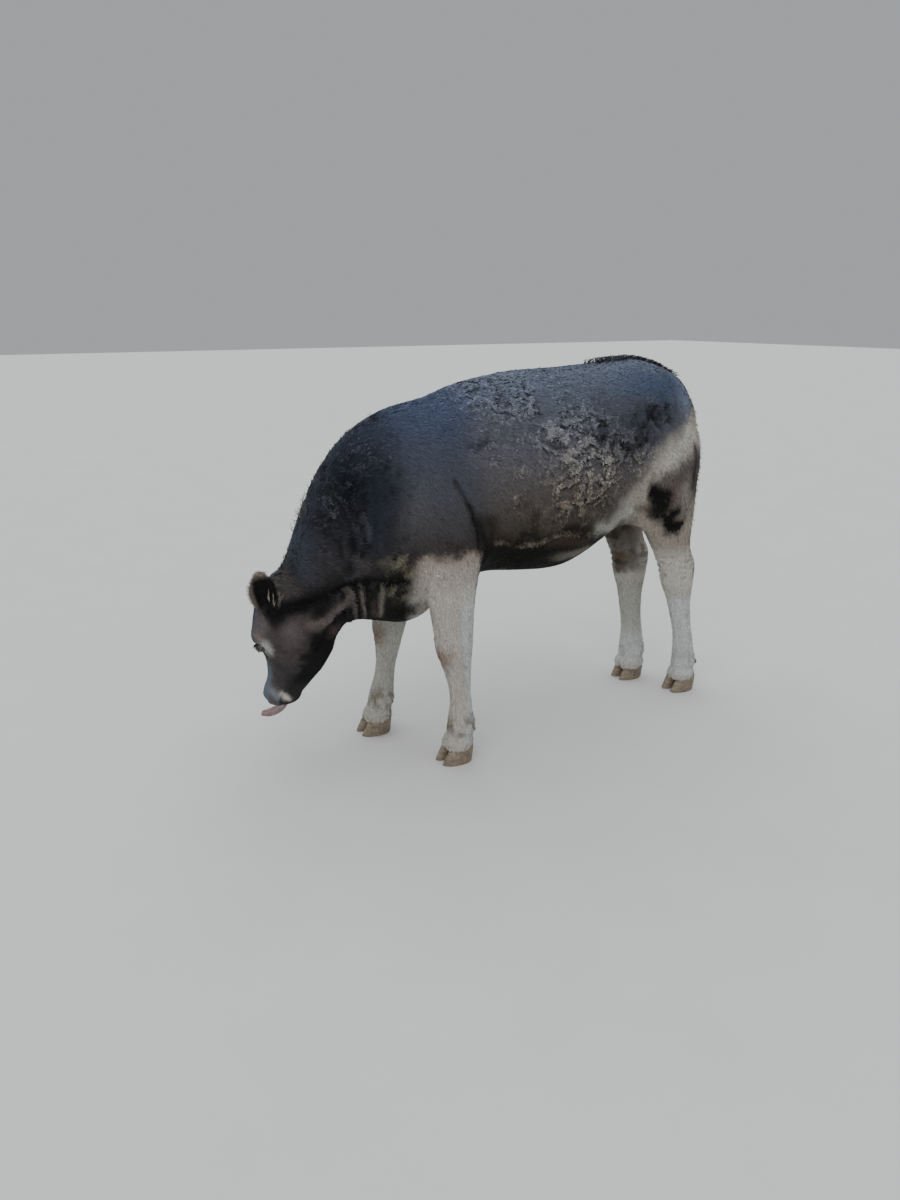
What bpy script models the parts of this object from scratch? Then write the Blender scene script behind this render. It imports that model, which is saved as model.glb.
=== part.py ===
"""Charolais-cross heifer calf, about seven months old, grazing: a still, life-size model.

Metres, +Z up. She faces -X, with her left side towards -Y. The whole outline, coat included, is
modelled as tubes laid along the trunk, neck, head, legs and tail, joined into one body and parted
with thin cuts into its named parts. Hooves, dewclaws, eyes and tongue are pieces of their own.
"""

import math

import bmesh
import bpy
import numpy as np
from mathutils import Euler, Matrix, Vector

# ---------------------------------------------------------------- driving sizes, in metres
HEAD_SIZE = 1.11  # the head's sections are given for a head 0.385 long
POLL = (-0.548, 0.060, 0.605)
EYE_RADIUS = 0.0185
EAR_LENGTH = 0.166
FORE_STANCE = 0.150  # half the distance between the fore feet
HIND_STANCE = 0.092
CUT = 0.0008  # width of the parting cuts
GAP = 0.0004  # clearance round a fitted piece
RING = 28  # points round a section
VOXEL = 0.008
FLESH_TRIANGLES = 3750
# middle of the model's bounding box before it is moved to the origin
BOX_MIDDLE = (0.2118, 0.0)

for thing in list(bpy.data.objects):
    bpy.data.objects.remove(thing, do_unlink=True)


# ---------------------------------------------------------------- tools for shapes
def through(keys, count):
    """Values along a smooth curve through the keys, `count` steps between each pair."""
    keys = np.asarray(keys, float)
    padded = np.concatenate([[2 * keys[0] - keys[1]], keys, [2 * keys[-1] - keys[-2]]])
    out = []
    for i in range(1, len(padded) - 2):
        a, b, c, d = padded[i - 1 : i + 3]
        for step in range(count):
            t = step / count
            out.append(
                0.5
                * (
                    2 * b
                    + (c - a) * t
                    + (2 * a - 5 * b + 4 * c - d) * t**2
                    + (3 * b - a - 3 * c + d) * t**3
                )
            )
    out.append(keys[-1])
    return np.array(out)


def unit(v):
    v = np.asarray(v, float)
    return v / np.linalg.norm(v)


def oval(centre, side, up, half, above, below, top=2.0, bottom=2.0, count=RING):
    """A section like an egg: `half` wide each way along side, `above` and `below` along up."""
    ring = []
    for i in range(count):
        angle = 2 * math.pi * i / count
        c, s = math.cos(angle), math.sin(angle)
        power = 2 / (top if s >= 0 else bottom)
        x = half * math.copysign(abs(c) ** power, c)
        y = (above if s >= 0 else below) * math.copysign(abs(s) ** power, s)
        ring.append(np.asarray(centre) + x * np.asarray(side) + y * np.asarray(up))
    return np.array(ring)


def dome(ring, along, height):
    """Rings that close a section with a rounded end, `height` deep along a direction."""
    middle = ring.mean(axis=0)
    return [
        middle + (ring - middle) * math.cos(a) + np.asarray(along) * height * math.sin(a)
        for a in (0.55, 1.0, 1.35)
    ]


def tube(name, rings, first=None, last=None, steps=4):
    """A closed skin through the section rings. first and last are the heights of its round ends."""
    rings = list(through(np.array(rings), steps))
    if first:
        out = unit(rings[0].mean(axis=0) - rings[1].mean(axis=0))
        rings = dome(rings[0], out, first)[::-1] + rings
    if last:
        out = unit(rings[-1].mean(axis=0) - rings[-2].mean(axis=0))
        rings = rings + dome(rings[-1], out, last)
    count = len(rings[0])
    work = bmesh.new()
    rows = [[work.verts.new(p) for p in ring] for ring in rings]
    for a, b in zip(rows, rows[1:]):
        for i in range(count):
            j = (i + 1) % count
            work.faces.new((a[i], a[j], b[j], b[i]))
    for row in (rows[0], rows[-1]):
        tip = work.verts.new(sum((v.co for v in row), Vector()) / count)
        for i in range(count):
            work.faces.new((row[i], row[(i + 1) % count], tip))
    bmesh.ops.recalc_face_normals(work, faces=work.faces)
    mesh = bpy.data.meshes.new(name)
    work.to_mesh(mesh)
    work.free()
    thing = bpy.data.objects.new(name, mesh)
    bpy.context.scene.collection.objects.link(thing)
    return thing


def muscle(name, centre, radii, turn=(0, 0, 0), fine=(24, 16)):
    """A rounded mass of muscle or fat, from a scaled sphere."""
    mesh = bpy.data.meshes.new(name)
    work = bmesh.new()
    bmesh.ops.create_uvsphere(work, u_segments=fine[0], v_segments=fine[1], radius=1)
    work.to_mesh(mesh)
    work.free()
    thing = bpy.data.objects.new(name, mesh)
    bpy.context.scene.collection.objects.link(thing)
    size = Matrix.Diagonal((*radii, 1))
    mesh.transform(
        Matrix.Translation(centre) @ Euler([math.radians(a) for a in turn]).to_matrix().to_4x4() @ size
    )
    return thing


def baked(thing):
    """Replaces an object's mesh with what its modifiers make of it."""
    graph = bpy.context.evaluated_depsgraph_get()
    mesh = bpy.data.meshes.new_from_object(thing.evaluated_get(graph))
    thing.modifiers.clear()
    old, thing.data = thing.data, mesh
    bpy.data.meshes.remove(old)
    return thing


def points_of(thing):
    co = np.empty(len(thing.data.vertices) * 3)
    thing.data.vertices.foreach_get("co", co)
    return co.reshape(-1, 3)


def join(name, things):
    """One mesh object of several, still as separate shells."""
    work = bmesh.new()
    for thing in things:
        work.from_mesh(thing.data)
        bpy.data.objects.remove(thing, do_unlink=True)
    mesh = bpy.data.meshes.new(name)
    work.to_mesh(mesh)
    work.free()
    whole = bpy.data.objects.new(name, mesh)
    bpy.context.scene.collection.objects.link(whole)
    return whole


def fused(whole, voxel):
    remesh = whole.modifiers.new("one skin", "REMESH")
    remesh.mode = "VOXEL"
    remesh.voxel_size = voxel
    remesh.adaptivity = 0
    return baked(whole)


def softened(whole, share, factor, times):
    """Smooths the mesh, each point by its share."""
    group = whole.vertex_groups.new(name="soft")
    for i, s in enumerate(share):
        if s > 0.01:
            group.add([i], float(s), "REPLACE")
    smooth = whole.modifiers.new("soften", "SMOOTH")
    smooth.factor = factor
    smooth.iterations = times
    smooth.vertex_group = "soft"
    baked(whole)
    whole.vertex_groups.clear()
    return whole


def ease(a, b, x):
    t = np.clip((np.asarray(x, float) - a) / (b - a), 0, 1)
    return t * t * (3 - 2 * t)


# ---------------------------------------------------------------- trunk
ACROSS, UP = np.array([0, 1, 0]), np.array([0, 0, 1])
# name: x, height of the back, height of the belly, half width, height of the widest line, squareness above and below
TRUNK = {
    "pin bones": (0.975, 1.060, 0.830, 0.075, 0.960, 2.2, 2.0),
    "tail head": (0.915, 1.134, 0.770, 0.135, 0.950, 2.3, 2.0),
    "rump": (0.835, 1.180, 0.730, 0.178, 0.955, 2.5, 2.1),
    "hooks": (0.715, 1.202, 0.680, 0.203, 0.950, 2.7, 2.1),
    "loin": (0.580, 1.192, 0.600, 0.220, 0.895, 2.6, 2.1),
    "paunch": (0.420, 1.182, 0.538, 0.236, 0.835, 2.4, 2.1),
    "ribs": (0.270, 1.178, 0.543, 0.234, 0.835, 2.3, 2.1),
    "girth": (0.130, 1.158, 0.556, 0.211, 0.838, 2.1, 2.0),
    "shoulders": (0.000, 1.130, 0.530, 0.187, 0.830, 1.9, 2.0),
    "chest": (-0.110, 1.085, 0.480, 0.162, 0.790, 1.9, 2.0),
    "breast": (-0.185, 0.990, 0.495, 0.120, 0.740, 2.0, 2.0),
}


def trunk():
    rings = [
        oval((x, 0, wide), ACROSS, UP, half, back - wide, wide - belly, top, bottom)
        for x, back, belly, half, wide, top, bottom in TRUNK.values()
    ]
    return tube("trunk", rings, first=0.030, last=0.05)


# ---------------------------------------------------------------- neck
# name: crest, throat, half width, squareness of the crest
NECK = {
    "in the chest": ((0.060, 0, 1.120), (0.050, 0, 0.540), 0.165, 1.9),
    "withers": ((-0.090, 0, 1.108), (-0.050, 0, 0.475), 0.160, 1.8),
    "neck base": ((-0.200, 0.002, 1.085), (-0.150, 0, 0.440), 0.146, 1.8),
    "lower crest": ((-0.300, 0.006, 1.028), (-0.215, 0, 0.450), 0.130, 1.8),
    "mid neck": ((-0.372, 0.014, 0.950), (-0.262, -0.002, 0.462), 0.117, 1.8),
    "upper neck": ((-0.424, 0.026, 0.850), (-0.300, -0.008, 0.470), 0.107, 1.8),
    "nape": ((-0.466, 0.045, 0.745), (-0.335, -0.022, 0.465), 0.090, 1.8),
    "behind the ears": ((-0.492, 0.057, 0.668), (-0.362, -0.040, 0.448), 0.073, 1.9),
    "in the head": ((-0.516, 0.066, 0.606), (-0.385, -0.052, 0.430), 0.060, 2.0),
}


def neck():
    rings = []
    for crest, throat, half, top in NECK.values():
        crest, throat = np.array(crest, float), np.array(throat, float)
        up = unit(crest - throat)
        side = unit(np.cross(up, (-up[2], 0, up[0])))
        depth = np.linalg.norm(crest - throat) / 2
        rings.append(oval((crest + throat) / 2, side, up, half, depth, depth, top, 2.0))
    return tube("neck", rings, first=0.05, last=0.03)


# ---------------------------------------------------------------- head
# Her head's own axes: from the poll to the muzzle, from the forehead out, and to her left. The
# head hangs with the muzzle swung to her right, and its face is turned to her right.
ALONG = unit((0.055, 0.343, -0.938))
OUT = unit(np.array([-0.647, 0.728, 0.229]) - ALONG * np.dot((-0.647, 0.728, 0.229), ALONG))
DOWN, LEFT = -OUT, np.cross(OUT, ALONG)


def in_head(along, down, left):
    return np.array(POLL) + HEAD_SIZE * (along * ALONG + down * DOWN + left * LEFT)


# name: distance along, then depth of the forehead line, (half width, depth) at the brow, side and jaw, and depth of the jaw line
HEAD = {
    "nape": (-0.030, 0.026, (0.042, 0.034), (0.060, 0.075), (0.048, 0.120), 0.150),
    "poll": (0.000, 0.005, (0.044, 0.006), (0.067, 0.050), (0.056, 0.130), 0.182),
    "forehead": (0.045, -0.005, (0.054, 0.002), (0.076, 0.046), (0.064, 0.140), 0.205),
    "brow": (0.095, -0.008, (0.064, 0.002), (0.085, 0.040), (0.069, 0.144), 0.212),
    "eyes": (0.135, -0.005, (0.065, 0.006), (0.086, 0.044), (0.068, 0.138), 0.210),
    "cheek": (0.175, 0.004, (0.048, 0.017), (0.070, 0.058), (0.060, 0.124), 0.198),
    "nose root": (0.215, 0.014, (0.036, 0.026), (0.055, 0.062), (0.049, 0.114), 0.184),
    "nose": (0.255, 0.021, (0.032, 0.030), (0.048, 0.062), (0.043, 0.104), 0.164),
    "bridge": (0.295, 0.025, (0.034, 0.030), (0.049, 0.058), (0.044, 0.095), 0.143),
    "nostrils": (0.327, 0.019, (0.041, 0.025), (0.057, 0.052), (0.047, 0.087), 0.125),
    "lips": (0.353, 0.020, (0.043, 0.028), (0.058, 0.053), (0.047, 0.084), 0.115),
    "muzzle": (0.368, 0.030, (0.037, 0.037), (0.048, 0.057), (0.039, 0.081), 0.105),
}


def head():
    rings = []
    for along, top, brow, side, jaw, bottom in HEAD.values():
        half = [(0, top), brow, side, jaw, (0, bottom)]
        loop = half + [(-w, d) for w, d in half[-2:0:-1]]
        loop = np.array(loop + loop[:3])
        curve = through(loop, RING // 4)[RING // 4 : RING // 4 + 8 * (RING // 4)]
        rings.append(np.array([in_head(along, d, w) for w, d in curve[::2]]))
    return tube("head", rings, first=0.02, last=0.014, steps=3)


def ear(name, side):
    """A leaf-shaped shell pointing back along the neck, its hollow turned out and down. side 1 is left.

    The left ear lies back along the neck. The right one stands out from it.
    """
    base = in_head(0.042, 0.058, side * 0.070)
    spread = 0.15 if side > 0 else 0.95
    tip_way = unit(-0.940 * ALONG - 0.12 * DOWN + side * spread * LEFT)
    face = side * 0.777 * LEFT + 0.627 * DOWN
    face = unit(face - tip_way * np.dot(face, tip_way))
    across = np.cross(tip_way, face)
    # share of the length, half width, depth of the hollow, half thickness
    shape = [
        (-0.12, 0.016, 0.000, 0.0150),
        (0.06, 0.021, 0.006, 0.0120),
        (0.22, 0.029, 0.013, 0.0085),
        (0.42, 0.038, 0.016, 0.0070),
        (0.62, 0.041, 0.014, 0.0062),
        (0.80, 0.035, 0.009, 0.0056),
        (0.93, 0.022, 0.004, 0.0052),
        (1.00, 0.008, 0.001, 0.0042),
    ]
    rings = []
    for share, half, cup, thick in shape:
        middle = base + tip_way * share * EAR_LENGTH
        ring = []
        for i in range(14):
            angle = 2 * math.pi * i / 14
            c, s = math.cos(angle), math.sin(angle)
            across_by = half * math.copysign(abs(c) ** 0.9, c)
            bend = cup * ((across_by / half) ** 2 - 0.45) * 1.5
            ring.append(middle + across * across_by + face * (bend + thick * s))
        rings.append(np.array(ring))
    return tube(name, rings, last=0.004, steps=1)


# ---------------------------------------------------------------- legs
# height, place fore and aft, place sideways, half length, half width
FORE_LEG = [
    (1.010, 0.060, 0.085, 0.070, 0.040),
    (0.920, 0.035, 0.110, 0.120, 0.058),
    (0.830, -0.010, 0.124, 0.148, 0.066),
    (0.740, -0.035, 0.130, 0.148, 0.066),
    (0.660, -0.028, 0.134, 0.122, 0.062),
    (0.595, -0.036, 0.137, 0.098, 0.058),
    (0.530, -0.038, 0.140, 0.080, 0.055),
    (0.465, -0.036, 0.143, 0.070, 0.053),
    (0.400, -0.034, 0.146, 0.063, 0.052),
    (0.350, -0.031, 0.148, 0.056, 0.050),
    (0.300, -0.024, 0.149, 0.045, 0.041),
    (0.240, -0.016, 0.150, 0.036, 0.034),
    (0.190, -0.012, 0.150, 0.036, 0.034),
    (0.135, -0.010, 0.150, 0.045, 0.041),
    (0.100, -0.014, 0.150, 0.044, 0.043),
    (0.070, -0.022, 0.150, 0.047, 0.049),
    (0.045, -0.026, 0.150, 0.050, 0.053),
]
# height, place fore and aft, place sideways, reach forward, reach back, half width
HIND_LEG = [
    (1.050, 0.830, 0.085, 0.110, 0.110, 0.055),
    (0.960, 0.820, 0.105, 0.140, 0.124, 0.078),
    (0.860, 0.815, 0.118, 0.148, 0.128, 0.088),
    (0.760, 0.815, 0.124, 0.142, 0.128, 0.086),
    (0.670, 0.828, 0.124, 0.120, 0.116, 0.076),
    (0.590, 0.862, 0.118, 0.092, 0.084, 0.064),
    (0.535, 0.888, 0.112, 0.080, 0.078, 0.055),
    (0.487, 0.908, 0.108, 0.070, 0.084, 0.051),
    (0.425, 0.922, 0.105, 0.062, 0.070, 0.050),
    (0.360, 0.940, 0.103, 0.046, 0.050, 0.043),
    (0.300, 0.955, 0.102, 0.040, 0.041, 0.037),
    (0.235, 0.972, 0.101, 0.036, 0.038, 0.034),
    (0.185, 0.984, 0.100, 0.038, 0.041, 0.036),
    (0.135, 0.992, 0.100, 0.044, 0.046, 0.041),
    (0.100, 0.992, 0.100, 0.044, 0.045, 0.043),
    (0.070, 0.988, 0.100, 0.047, 0.045, 0.047),
    (0.045, 0.984, 0.100, 0.050, 0.048, 0.051),
]


def fore_leg(side, step, out, stout):
    """From the shoulder blade to the coronet. step is how far forward the foot stands."""
    rings = []
    for z, x, y, length, width in FORE_LEG:
        reach = 0.45 * ease(0.85, 0.35, z) + 0.55 * ease(0.45, 0.05, z)
        low = ease(0.9, 0.2, z)
        place = (x + step * reach, side * (y + (out - 0.150) * low), z)
        length, width = length * (1 + stout * low), width * (1 + stout * low)
        rings.append(oval(place, (0, 1, 0), (1, 0, 0), width, length, length))
    return tube("fore leg", rings, first=0.03, last=0.004, steps=3)


def hind_leg(side, step, out, stout):
    """From the hip to the coronet."""
    rings = []
    for z, x, y, before, behind, width in HIND_LEG:
        reach = ease(0.75, 0.10, z)
        low = ease(0.8, 0.2, z)
        place = (x + step * reach, side * (y + (out - 0.100) * low), z)
        before, behind, width = (a * (1 + stout * low) for a in (before, behind, width))
        rings.append(oval(place, (0, 1, 0), (1, 0, 0), width, behind, before))
    return tube("hind leg", rings, first=0.03, last=0.004, steps=3)


def tail():
    """Hangs down behind the buttocks from the tail head, and ends in the switch."""
    # x, z, half width, half depth
    levels = [
        (0.850, 1.134, 0.028, 0.034),
        (0.930, 1.116, 0.028, 0.033),
        (0.988, 1.074, 0.027, 0.029),
        (1.022, 1.005, 0.024, 0.025),
        (1.034, 0.925, 0.021, 0.021),
        (1.036, 0.835, 0.019, 0.019),
        (1.034, 0.745, 0.018, 0.018),
        (1.030, 0.665, 0.020, 0.020),
        (1.026, 0.595, 0.029, 0.026),
        (1.024, 0.525, 0.036, 0.031),
        (1.024, 0.455, 0.033, 0.027),
        (1.024, 0.395, 0.018, 0.016),
    ]
    places = np.array([(x, 0.0, z) for x, z, _, _ in levels])
    rings = []
    for i, (x, z, wide, deep) in enumerate(levels):
        way = unit(places[min(i + 1, len(places) - 1)] - places[max(i - 1, 0)])
        back = np.cross(way, ACROSS)
        rings.append(oval((x, 0, z), ACROSS, back, wide, deep, deep, count=10))
    return tube("tail", rings, first=0.02, last=0.02, steps=2)


# ---------------------------------------------------------------- the four feet
# name: side (1 is her right), how far the foot stands forward (-) or back (+), distance from her middle line
FEET = {
    "fore_left": (-1, 0.000, FORE_STANCE, 0.00),
    "fore_right": (1, -0.126, FORE_STANCE + 0.015, -0.01),
    "hind_left": (-1, 0.000, HIND_STANCE + 0.005, 0.00),
    "hind_right": (1, -0.085, HIND_STANCE, 0.10),
}


def foot_place(name):
    side, step, out, stout = FEET[name]
    return (-0.030 if name.startswith("fore") else 0.982) + step, side * out


def claw(name, foot, way):
    """One of a foot's two claws: flat sole, sloping toe, rounded wall. way is -1 or 1 across the foot."""
    x, y = foot_place(foot)
    heel, toe, half = 0.040, 0.058, 0.0235
    middle = y + way * 0.0250
    # height, shift back, reach forward, reach back, half width
    levels = [
        (0.0000, 0.000, toe, heel, half),
        (0.0150, 0.003, toe - 0.004, heel, half),
        (0.0350, 0.008, toe - 0.011, heel - 0.002, half - 0.0010),
        (0.0550, 0.014, toe - 0.019, heel - 0.006, half - 0.0020),
        (0.0750, 0.019, toe - 0.027, heel - 0.012, half - 0.0040),
    ]
    rings = []
    for z, back, before, behind, width in levels:
        rings.append(
            oval((x + back, middle, z), (0, 1, 0), (1, 0, 0), width, behind, before, 2.2, 2.0, 14)
        )
    return tube(name, rings, steps=1)


def dewclaw(name, foot, way, more=0.0):
    x, y = foot_place(foot)
    radii = (0.013 + more, 0.0100 + more, 0.015 + more)
    return muscle(name, (x + 0.052, y + way * 0.022, 0.100), radii, (0, 25, 0), (8, 5))


def tongue(name, more=0.0):
    """Put out of the mouth, curled forward round the grass and rolled to one side."""
    # along the head, down from the forehead line, to the left, half width, half thickness, roll
    path = [
        (0.330, 0.078, 0.002, 0.017, 0.0080, 0),
        (0.372, 0.080, 0.002, 0.019, 0.0088, -2),
        (0.400, 0.070, 0.002, 0.020, 0.0088, -14),
        (0.425, 0.050, 0.003, 0.019, 0.0080, -22),
        (0.446, 0.027, 0.004, 0.016, 0.0066, -25),
        (0.460, 0.004, 0.005, 0.010, 0.0048, -26),
    ]
    places = [in_head(a, d, w) for a, d, w, _, _, _ in path]
    rings = []
    for i, (_, _, _, half, thick, roll) in enumerate(path):
        way = unit(places[min(i + 1, len(places) - 1)] - places[max(i - 1, 0)])
        flat = unit(np.cross(way, LEFT))
        c, s = math.cos(math.radians(roll)), math.sin(math.radians(roll))
        side, up = c * LEFT + s * flat, c * flat - s * LEFT
        rings.append(oval(places[i], side, up, half + more, thick + more, thick + more, count=10))
    return tube(name, rings, first=0.004, last=0.004 + more, steps=1)


# ---------------------------------------------------------------- body in one skin
# name: middle (x, distance from the middle line, z), radii, turn in the side view
MUSCLES = {
    "point of the shoulder": ((-0.100, 0.100, 0.735), (0.085, 0.062, 0.120), -20),
    "triceps": ((0.040, 0.148, 0.735), (0.090, 0.048, 0.130), 25),
    "shoulder blade": ((0.012, 0.102, 0.892), (0.135, 0.054, 0.195), 15),
    "hook bone": ((0.690, 0.150, 1.090), (0.070, 0.040, 0.055), 0),
    "pin bone": ((0.922, 0.072, 1.000), (0.055, 0.048, 0.070), 0),
    "thigh": ((0.830, 0.127, 0.840), (0.120, 0.081, 0.200), 8),
    "stifle": ((0.755, 0.146, 0.700), (0.065, 0.042, 0.085), -20),
    "flank": ((0.700, 0.135, 0.735), (0.120, 0.045, 0.085), 12),
}


def body_pieces():
    pieces = [trunk(), neck(), head()]
    for side in (-1, 1):
        for name, ((x, y, z), radii, turn) in MUSCLES.items():
            pieces.append(muscle(name, (x, side * y, z), radii, (0, turn, 0)))
    pieces.append(muscle("brisket", (-0.130, 0, 0.510), (0.110, 0.085, 0.072), (0, -8, 0)))
    pieces.append(muscle("udder", (0.790, 0, 0.722), (0.075, 0.060, 0.036), (0, -6, 0)))
    for name, (side, step, out, stout) in FEET.items():
        leg = fore_leg if name.startswith("fore") else hind_leg
        pieces.append(leg(side, step, out, stout))
    return pieces


parts = bpy.data.collections.new("charolais_heifer_grazing")
cutters = bpy.data.collections.new("cutters")
for collection in (parts, cutters):
    bpy.context.scene.collection.children.link(collection)


def move_to(collection, thing):
    for old in list(thing.users_collection):
        old.objects.unlink(thing)
    collection.objects.link(thing)
    return thing


def copy_of(thing, name):
    other = bpy.data.objects.new(name, thing.data.copy())
    bpy.context.scene.collection.objects.link(other)
    return other


def grown(thing, name, by):
    """A copy whose surface lies a little further out."""
    other = copy_of(thing, name)
    work = bmesh.new()
    work.from_mesh(other.data)
    work.normal_update()
    for v in work.verts:
        v.co += v.normal * by
    work.to_mesh(other.data)
    work.free()
    return as_cutter(other)


def as_cutter(thing):
    thing.hide_render = True
    thing.display_type = "WIRE"
    return move_to(cutters, thing)


def block(name, centre, axes, sizes):
    """A box round a centre, its edges along the given axes."""
    mesh = bpy.data.meshes.new(name)
    work = bmesh.new()
    bmesh.ops.create_cube(work, size=1)
    work.to_mesh(mesh)
    work.free()
    thing = bpy.data.objects.new(name, mesh)
    bpy.context.scene.collection.objects.link(thing)
    frame = Matrix([[float(axes[c][r] * sizes[c]) for c in range(3)] for r in range(3)]).to_4x4()
    mesh.transform(Matrix.Translation([float(c) for c in centre]) @ frame)
    if frame.determinant() < 0:
        mesh.flip_normals()
    return as_cutter(thing)


def carve(thing, cutter, keep="DIFFERENCE"):
    cut = thing.modifiers.new("cut", "BOOLEAN")
    cut.operation = keep
    cut.object = cutter
    cut.solver = "EXACT"
    return baked(thing)


def slab(name, point, normal, across, sizes, thick=CUT):
    """A thin parting cut through a point, square to normal. sizes run along across and the third way."""
    normal = unit(normal)
    across = unit(np.asarray(across, float) - normal * np.dot(across, normal))
    third = np.cross(normal, across)
    return block(name, point, (normal, across, third), (thick, *sizes))


def shells_of(thing):
    """The closed shells of an object, each as an object of its own."""
    work = bmesh.new()
    work.from_mesh(thing.data)
    work.verts.ensure_lookup_table()
    seen, out = set(), []
    for start in work.verts:
        if start.index in seen:
            continue
        stack, shell = [start], []
        seen.add(start.index)
        while stack:
            v = stack.pop()
            shell.append(v.index)
            for e in v.link_edges:
                o = e.other_vert(v)
                if o.index not in seen:
                    seen.add(o.index)
                    stack.append(o)
        out.append(set(shell))
    work.free()
    found = []
    for k, shell in enumerate(out):
        if len(shell) < 30:
            continue
        work = bmesh.new()
        work.from_mesh(thing.data)
        work.verts.ensure_lookup_table()
        bmesh.ops.delete(work, geom=[v for v in work.verts if v.index not in shell], context="VERTS")
        mesh = bpy.data.meshes.new(f"shell {k}")
        work.to_mesh(mesh)
        work.free()
        piece = bpy.data.objects.new(f"shell {k}", mesh)
        bpy.context.scene.collection.objects.link(piece)
        found.append(piece)
    bpy.data.objects.remove(thing, do_unlink=True)
    return found


body = fused(join("body", body_pieces()), VOXEL)
softened(body, np.ones(len(body.data.vertices)), 0.5, 12)
softened(body, ease(0.55, 0.68, points_of(body)[:, 2]), 0.5, 40)
co = points_of(body)
group = body.vertex_groups.new(name="spend")
for i, s in enumerate(1 - 0.02 * ease(0.70, 0.60, co[:, 2]) * ease(-0.34, -0.44, co[:, 0])):
    group.add([i], float(s), "REPLACE")
fewer = body.modifiers.new("fewer", "DECIMATE")
fewer.vertex_group = "spend"
fewer.ratio = FLESH_TRIANGLES / sum(len(face.vertices) - 2 for face in body.data.polygons)
baked(body)
body.vertex_groups.clear()

# ears, tail and tongue stand a hair's breadth clear of the body
whole = grown(body, "body grown", GAP)
nodes = {}
for side, name in ((1, "left"), (-1, "right")):
    nodes[f"ear_{name}"] = carve(ear(f"ear_{name}", side), whole)
nodes["tail"] = carve(tail(), whole)
nodes["tongue"] = tongue("tongue")
carve(body, as_cutter(tongue("tongue pocket", 1.5 * GAP)))

# eyes
for side, name in ((1, "left"), (-1, "right")):
    place = in_head(0.145, 0.036, side * 0.0710)
    nodes[f"eye_{name}"] = muscle(f"eye_{name}", place, (EYE_RADIUS,) * 3, fine=(14, 8))
    carve(body, as_cutter(muscle(f"socket {name}", place, (EYE_RADIUS + GAP,) * 3, fine=(14, 8))))

# nostrils and the line of the mouth
for side in (1, -1):
    nostril = muscle("nostril", in_head(0.357, 0.030, side * 0.036), (0.012, 0.008, 0.010), fine=(12, 8))
    carve(body, as_cutter(nostril))

# hooves: the coronet slopes down to the heel, the leg ends on it and the claws begin under it
TOE_UP = unit((-0.26, 0, 0.966))
for foot in FEET:
    x, y = foot_place(foot)
    level = np.array([x, y, 0.050])
    ahead = np.cross(TOE_UP, (0, 1, 0))
    below = block("under the coronet", level - TOE_UP * (0.06 - GAP / 2), (ahead, (0, 1, 0), TOE_UP), (0.20, 0.14, 0.12))
    above = block("over the coronet", level + TOE_UP * (0.06 - GAP / 2), (ahead, (0, 1, 0), TOE_UP), (0.20, 0.14, 0.12))
    carve(body, below)
    for way, which in ((-1, "outer" if FEET[foot][0] < 0 else "inner"), (1, "inner" if FEET[foot][0] < 0 else "outer")):
        name = f"claw_{foot}_{which}"
        nodes[name] = carve(claw(name, foot, way), above)
        name = f"dewclaw_{foot}_{which}"
        nodes[name] = dewclaw(name, foot, way)
        carve(body, as_cutter(dewclaw("pocket " + name, foot, way, GAP)))

# parting cuts
carve(body, slab("head cut", (-0.430, 0.010, 0.547), (0.74, -0.25, 0.63), (0, 1, 0), (0.28, 0.40)))
carve(body, slab("neck cut", (-0.170, 0, 0.79), (-0.988, 0, 0.152), (0, 1, 0), (0.50, 0.90)))
for side in (-1, 1):
    carve(body, slab("elbow cut", (-0.035, side * 0.140, 0.520), (0, -side * 0.50, 0.85), (1, 0, 0), (0.26, 0.190)))
    carve(body, slab("thigh cut", (0.840, side * 0.126, 0.632), (-0.10, 0, 0.99), (1, 0, 0), (0.38, 0.240)))

for shell in shells_of(body):
    co = points_of(shell)
    x, y, z = co.mean(axis=0)
    if co[:, 2].max() < 0.72 and x > -0.30:
        end = "foreleg" if x < 0.4 else "hindleg"
        name = f"{end}_{'left' if y < 0 else 'right'}"
    elif x < -0.44:
        name = "head"
    elif x < -0.15:
        name = "neck"
    else:
        name = "trunk"
    shell.name = shell.data.name = name
    nodes[name] = shell

# ---------------------------------------------------------------- colours
SKIN = {
    "head": (0.115, 0.098, 0.090),
    "neck": (0.075, 0.070, 0.072),
    "trunk": (0.110, 0.100, 0.096),
    "foreleg": (0.480, 0.400, 0.330),
    "hindleg": (0.520, 0.440, 0.360),
    "ear": (0.130, 0.110, 0.100),
    "eye": (0.012, 0.010, 0.010),
    "tail": (0.150, 0.130, 0.115),
    "tongue": (0.500, 0.240, 0.230),
    "claw": (0.180, 0.150, 0.120),
    "dewclaw": (0.140, 0.115, 0.095),
}
for name, thing in nodes.items():
    kind = name.split("_")[0]
    paint = bpy.data.materials.new(name)
    paint.use_nodes = True
    shader = paint.node_tree.nodes["Principled BSDF"]
    shader.inputs["Base Color"].default_value = (*SKIN[kind], 1)
    shader.inputs["Roughness"].default_value = 0.15 if kind == "eye" else 0.45 if kind in ("claw", "dewclaw", "tongue") else 0.75
    shader.inputs["Metallic"].default_value = 0
    thing.data.materials.clear()
    thing.data.materials.append(paint)
    thing.data.transform(Matrix.Translation((-BOX_MIDDLE[0], -BOX_MIDDLE[1], 0)))
    move_to(parts, thing)
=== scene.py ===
"""Looks of a grazing Charolais-cross heifer calf, life size.

One skin stands for the parts of flesh. It follows the same named sections as the solids, laid finer,
and lies inside them by the depth of the coat. The coat is mesh tufts that follow the lie of the hair.
Places are worked out in the frame the sections are given in, and moved to the model's frame last.
"""

import math

import bmesh
import bpy
import numpy as np
from mathutils.bvhtree import BVHTree
from mathutils import Euler, Matrix, Vector


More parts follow.
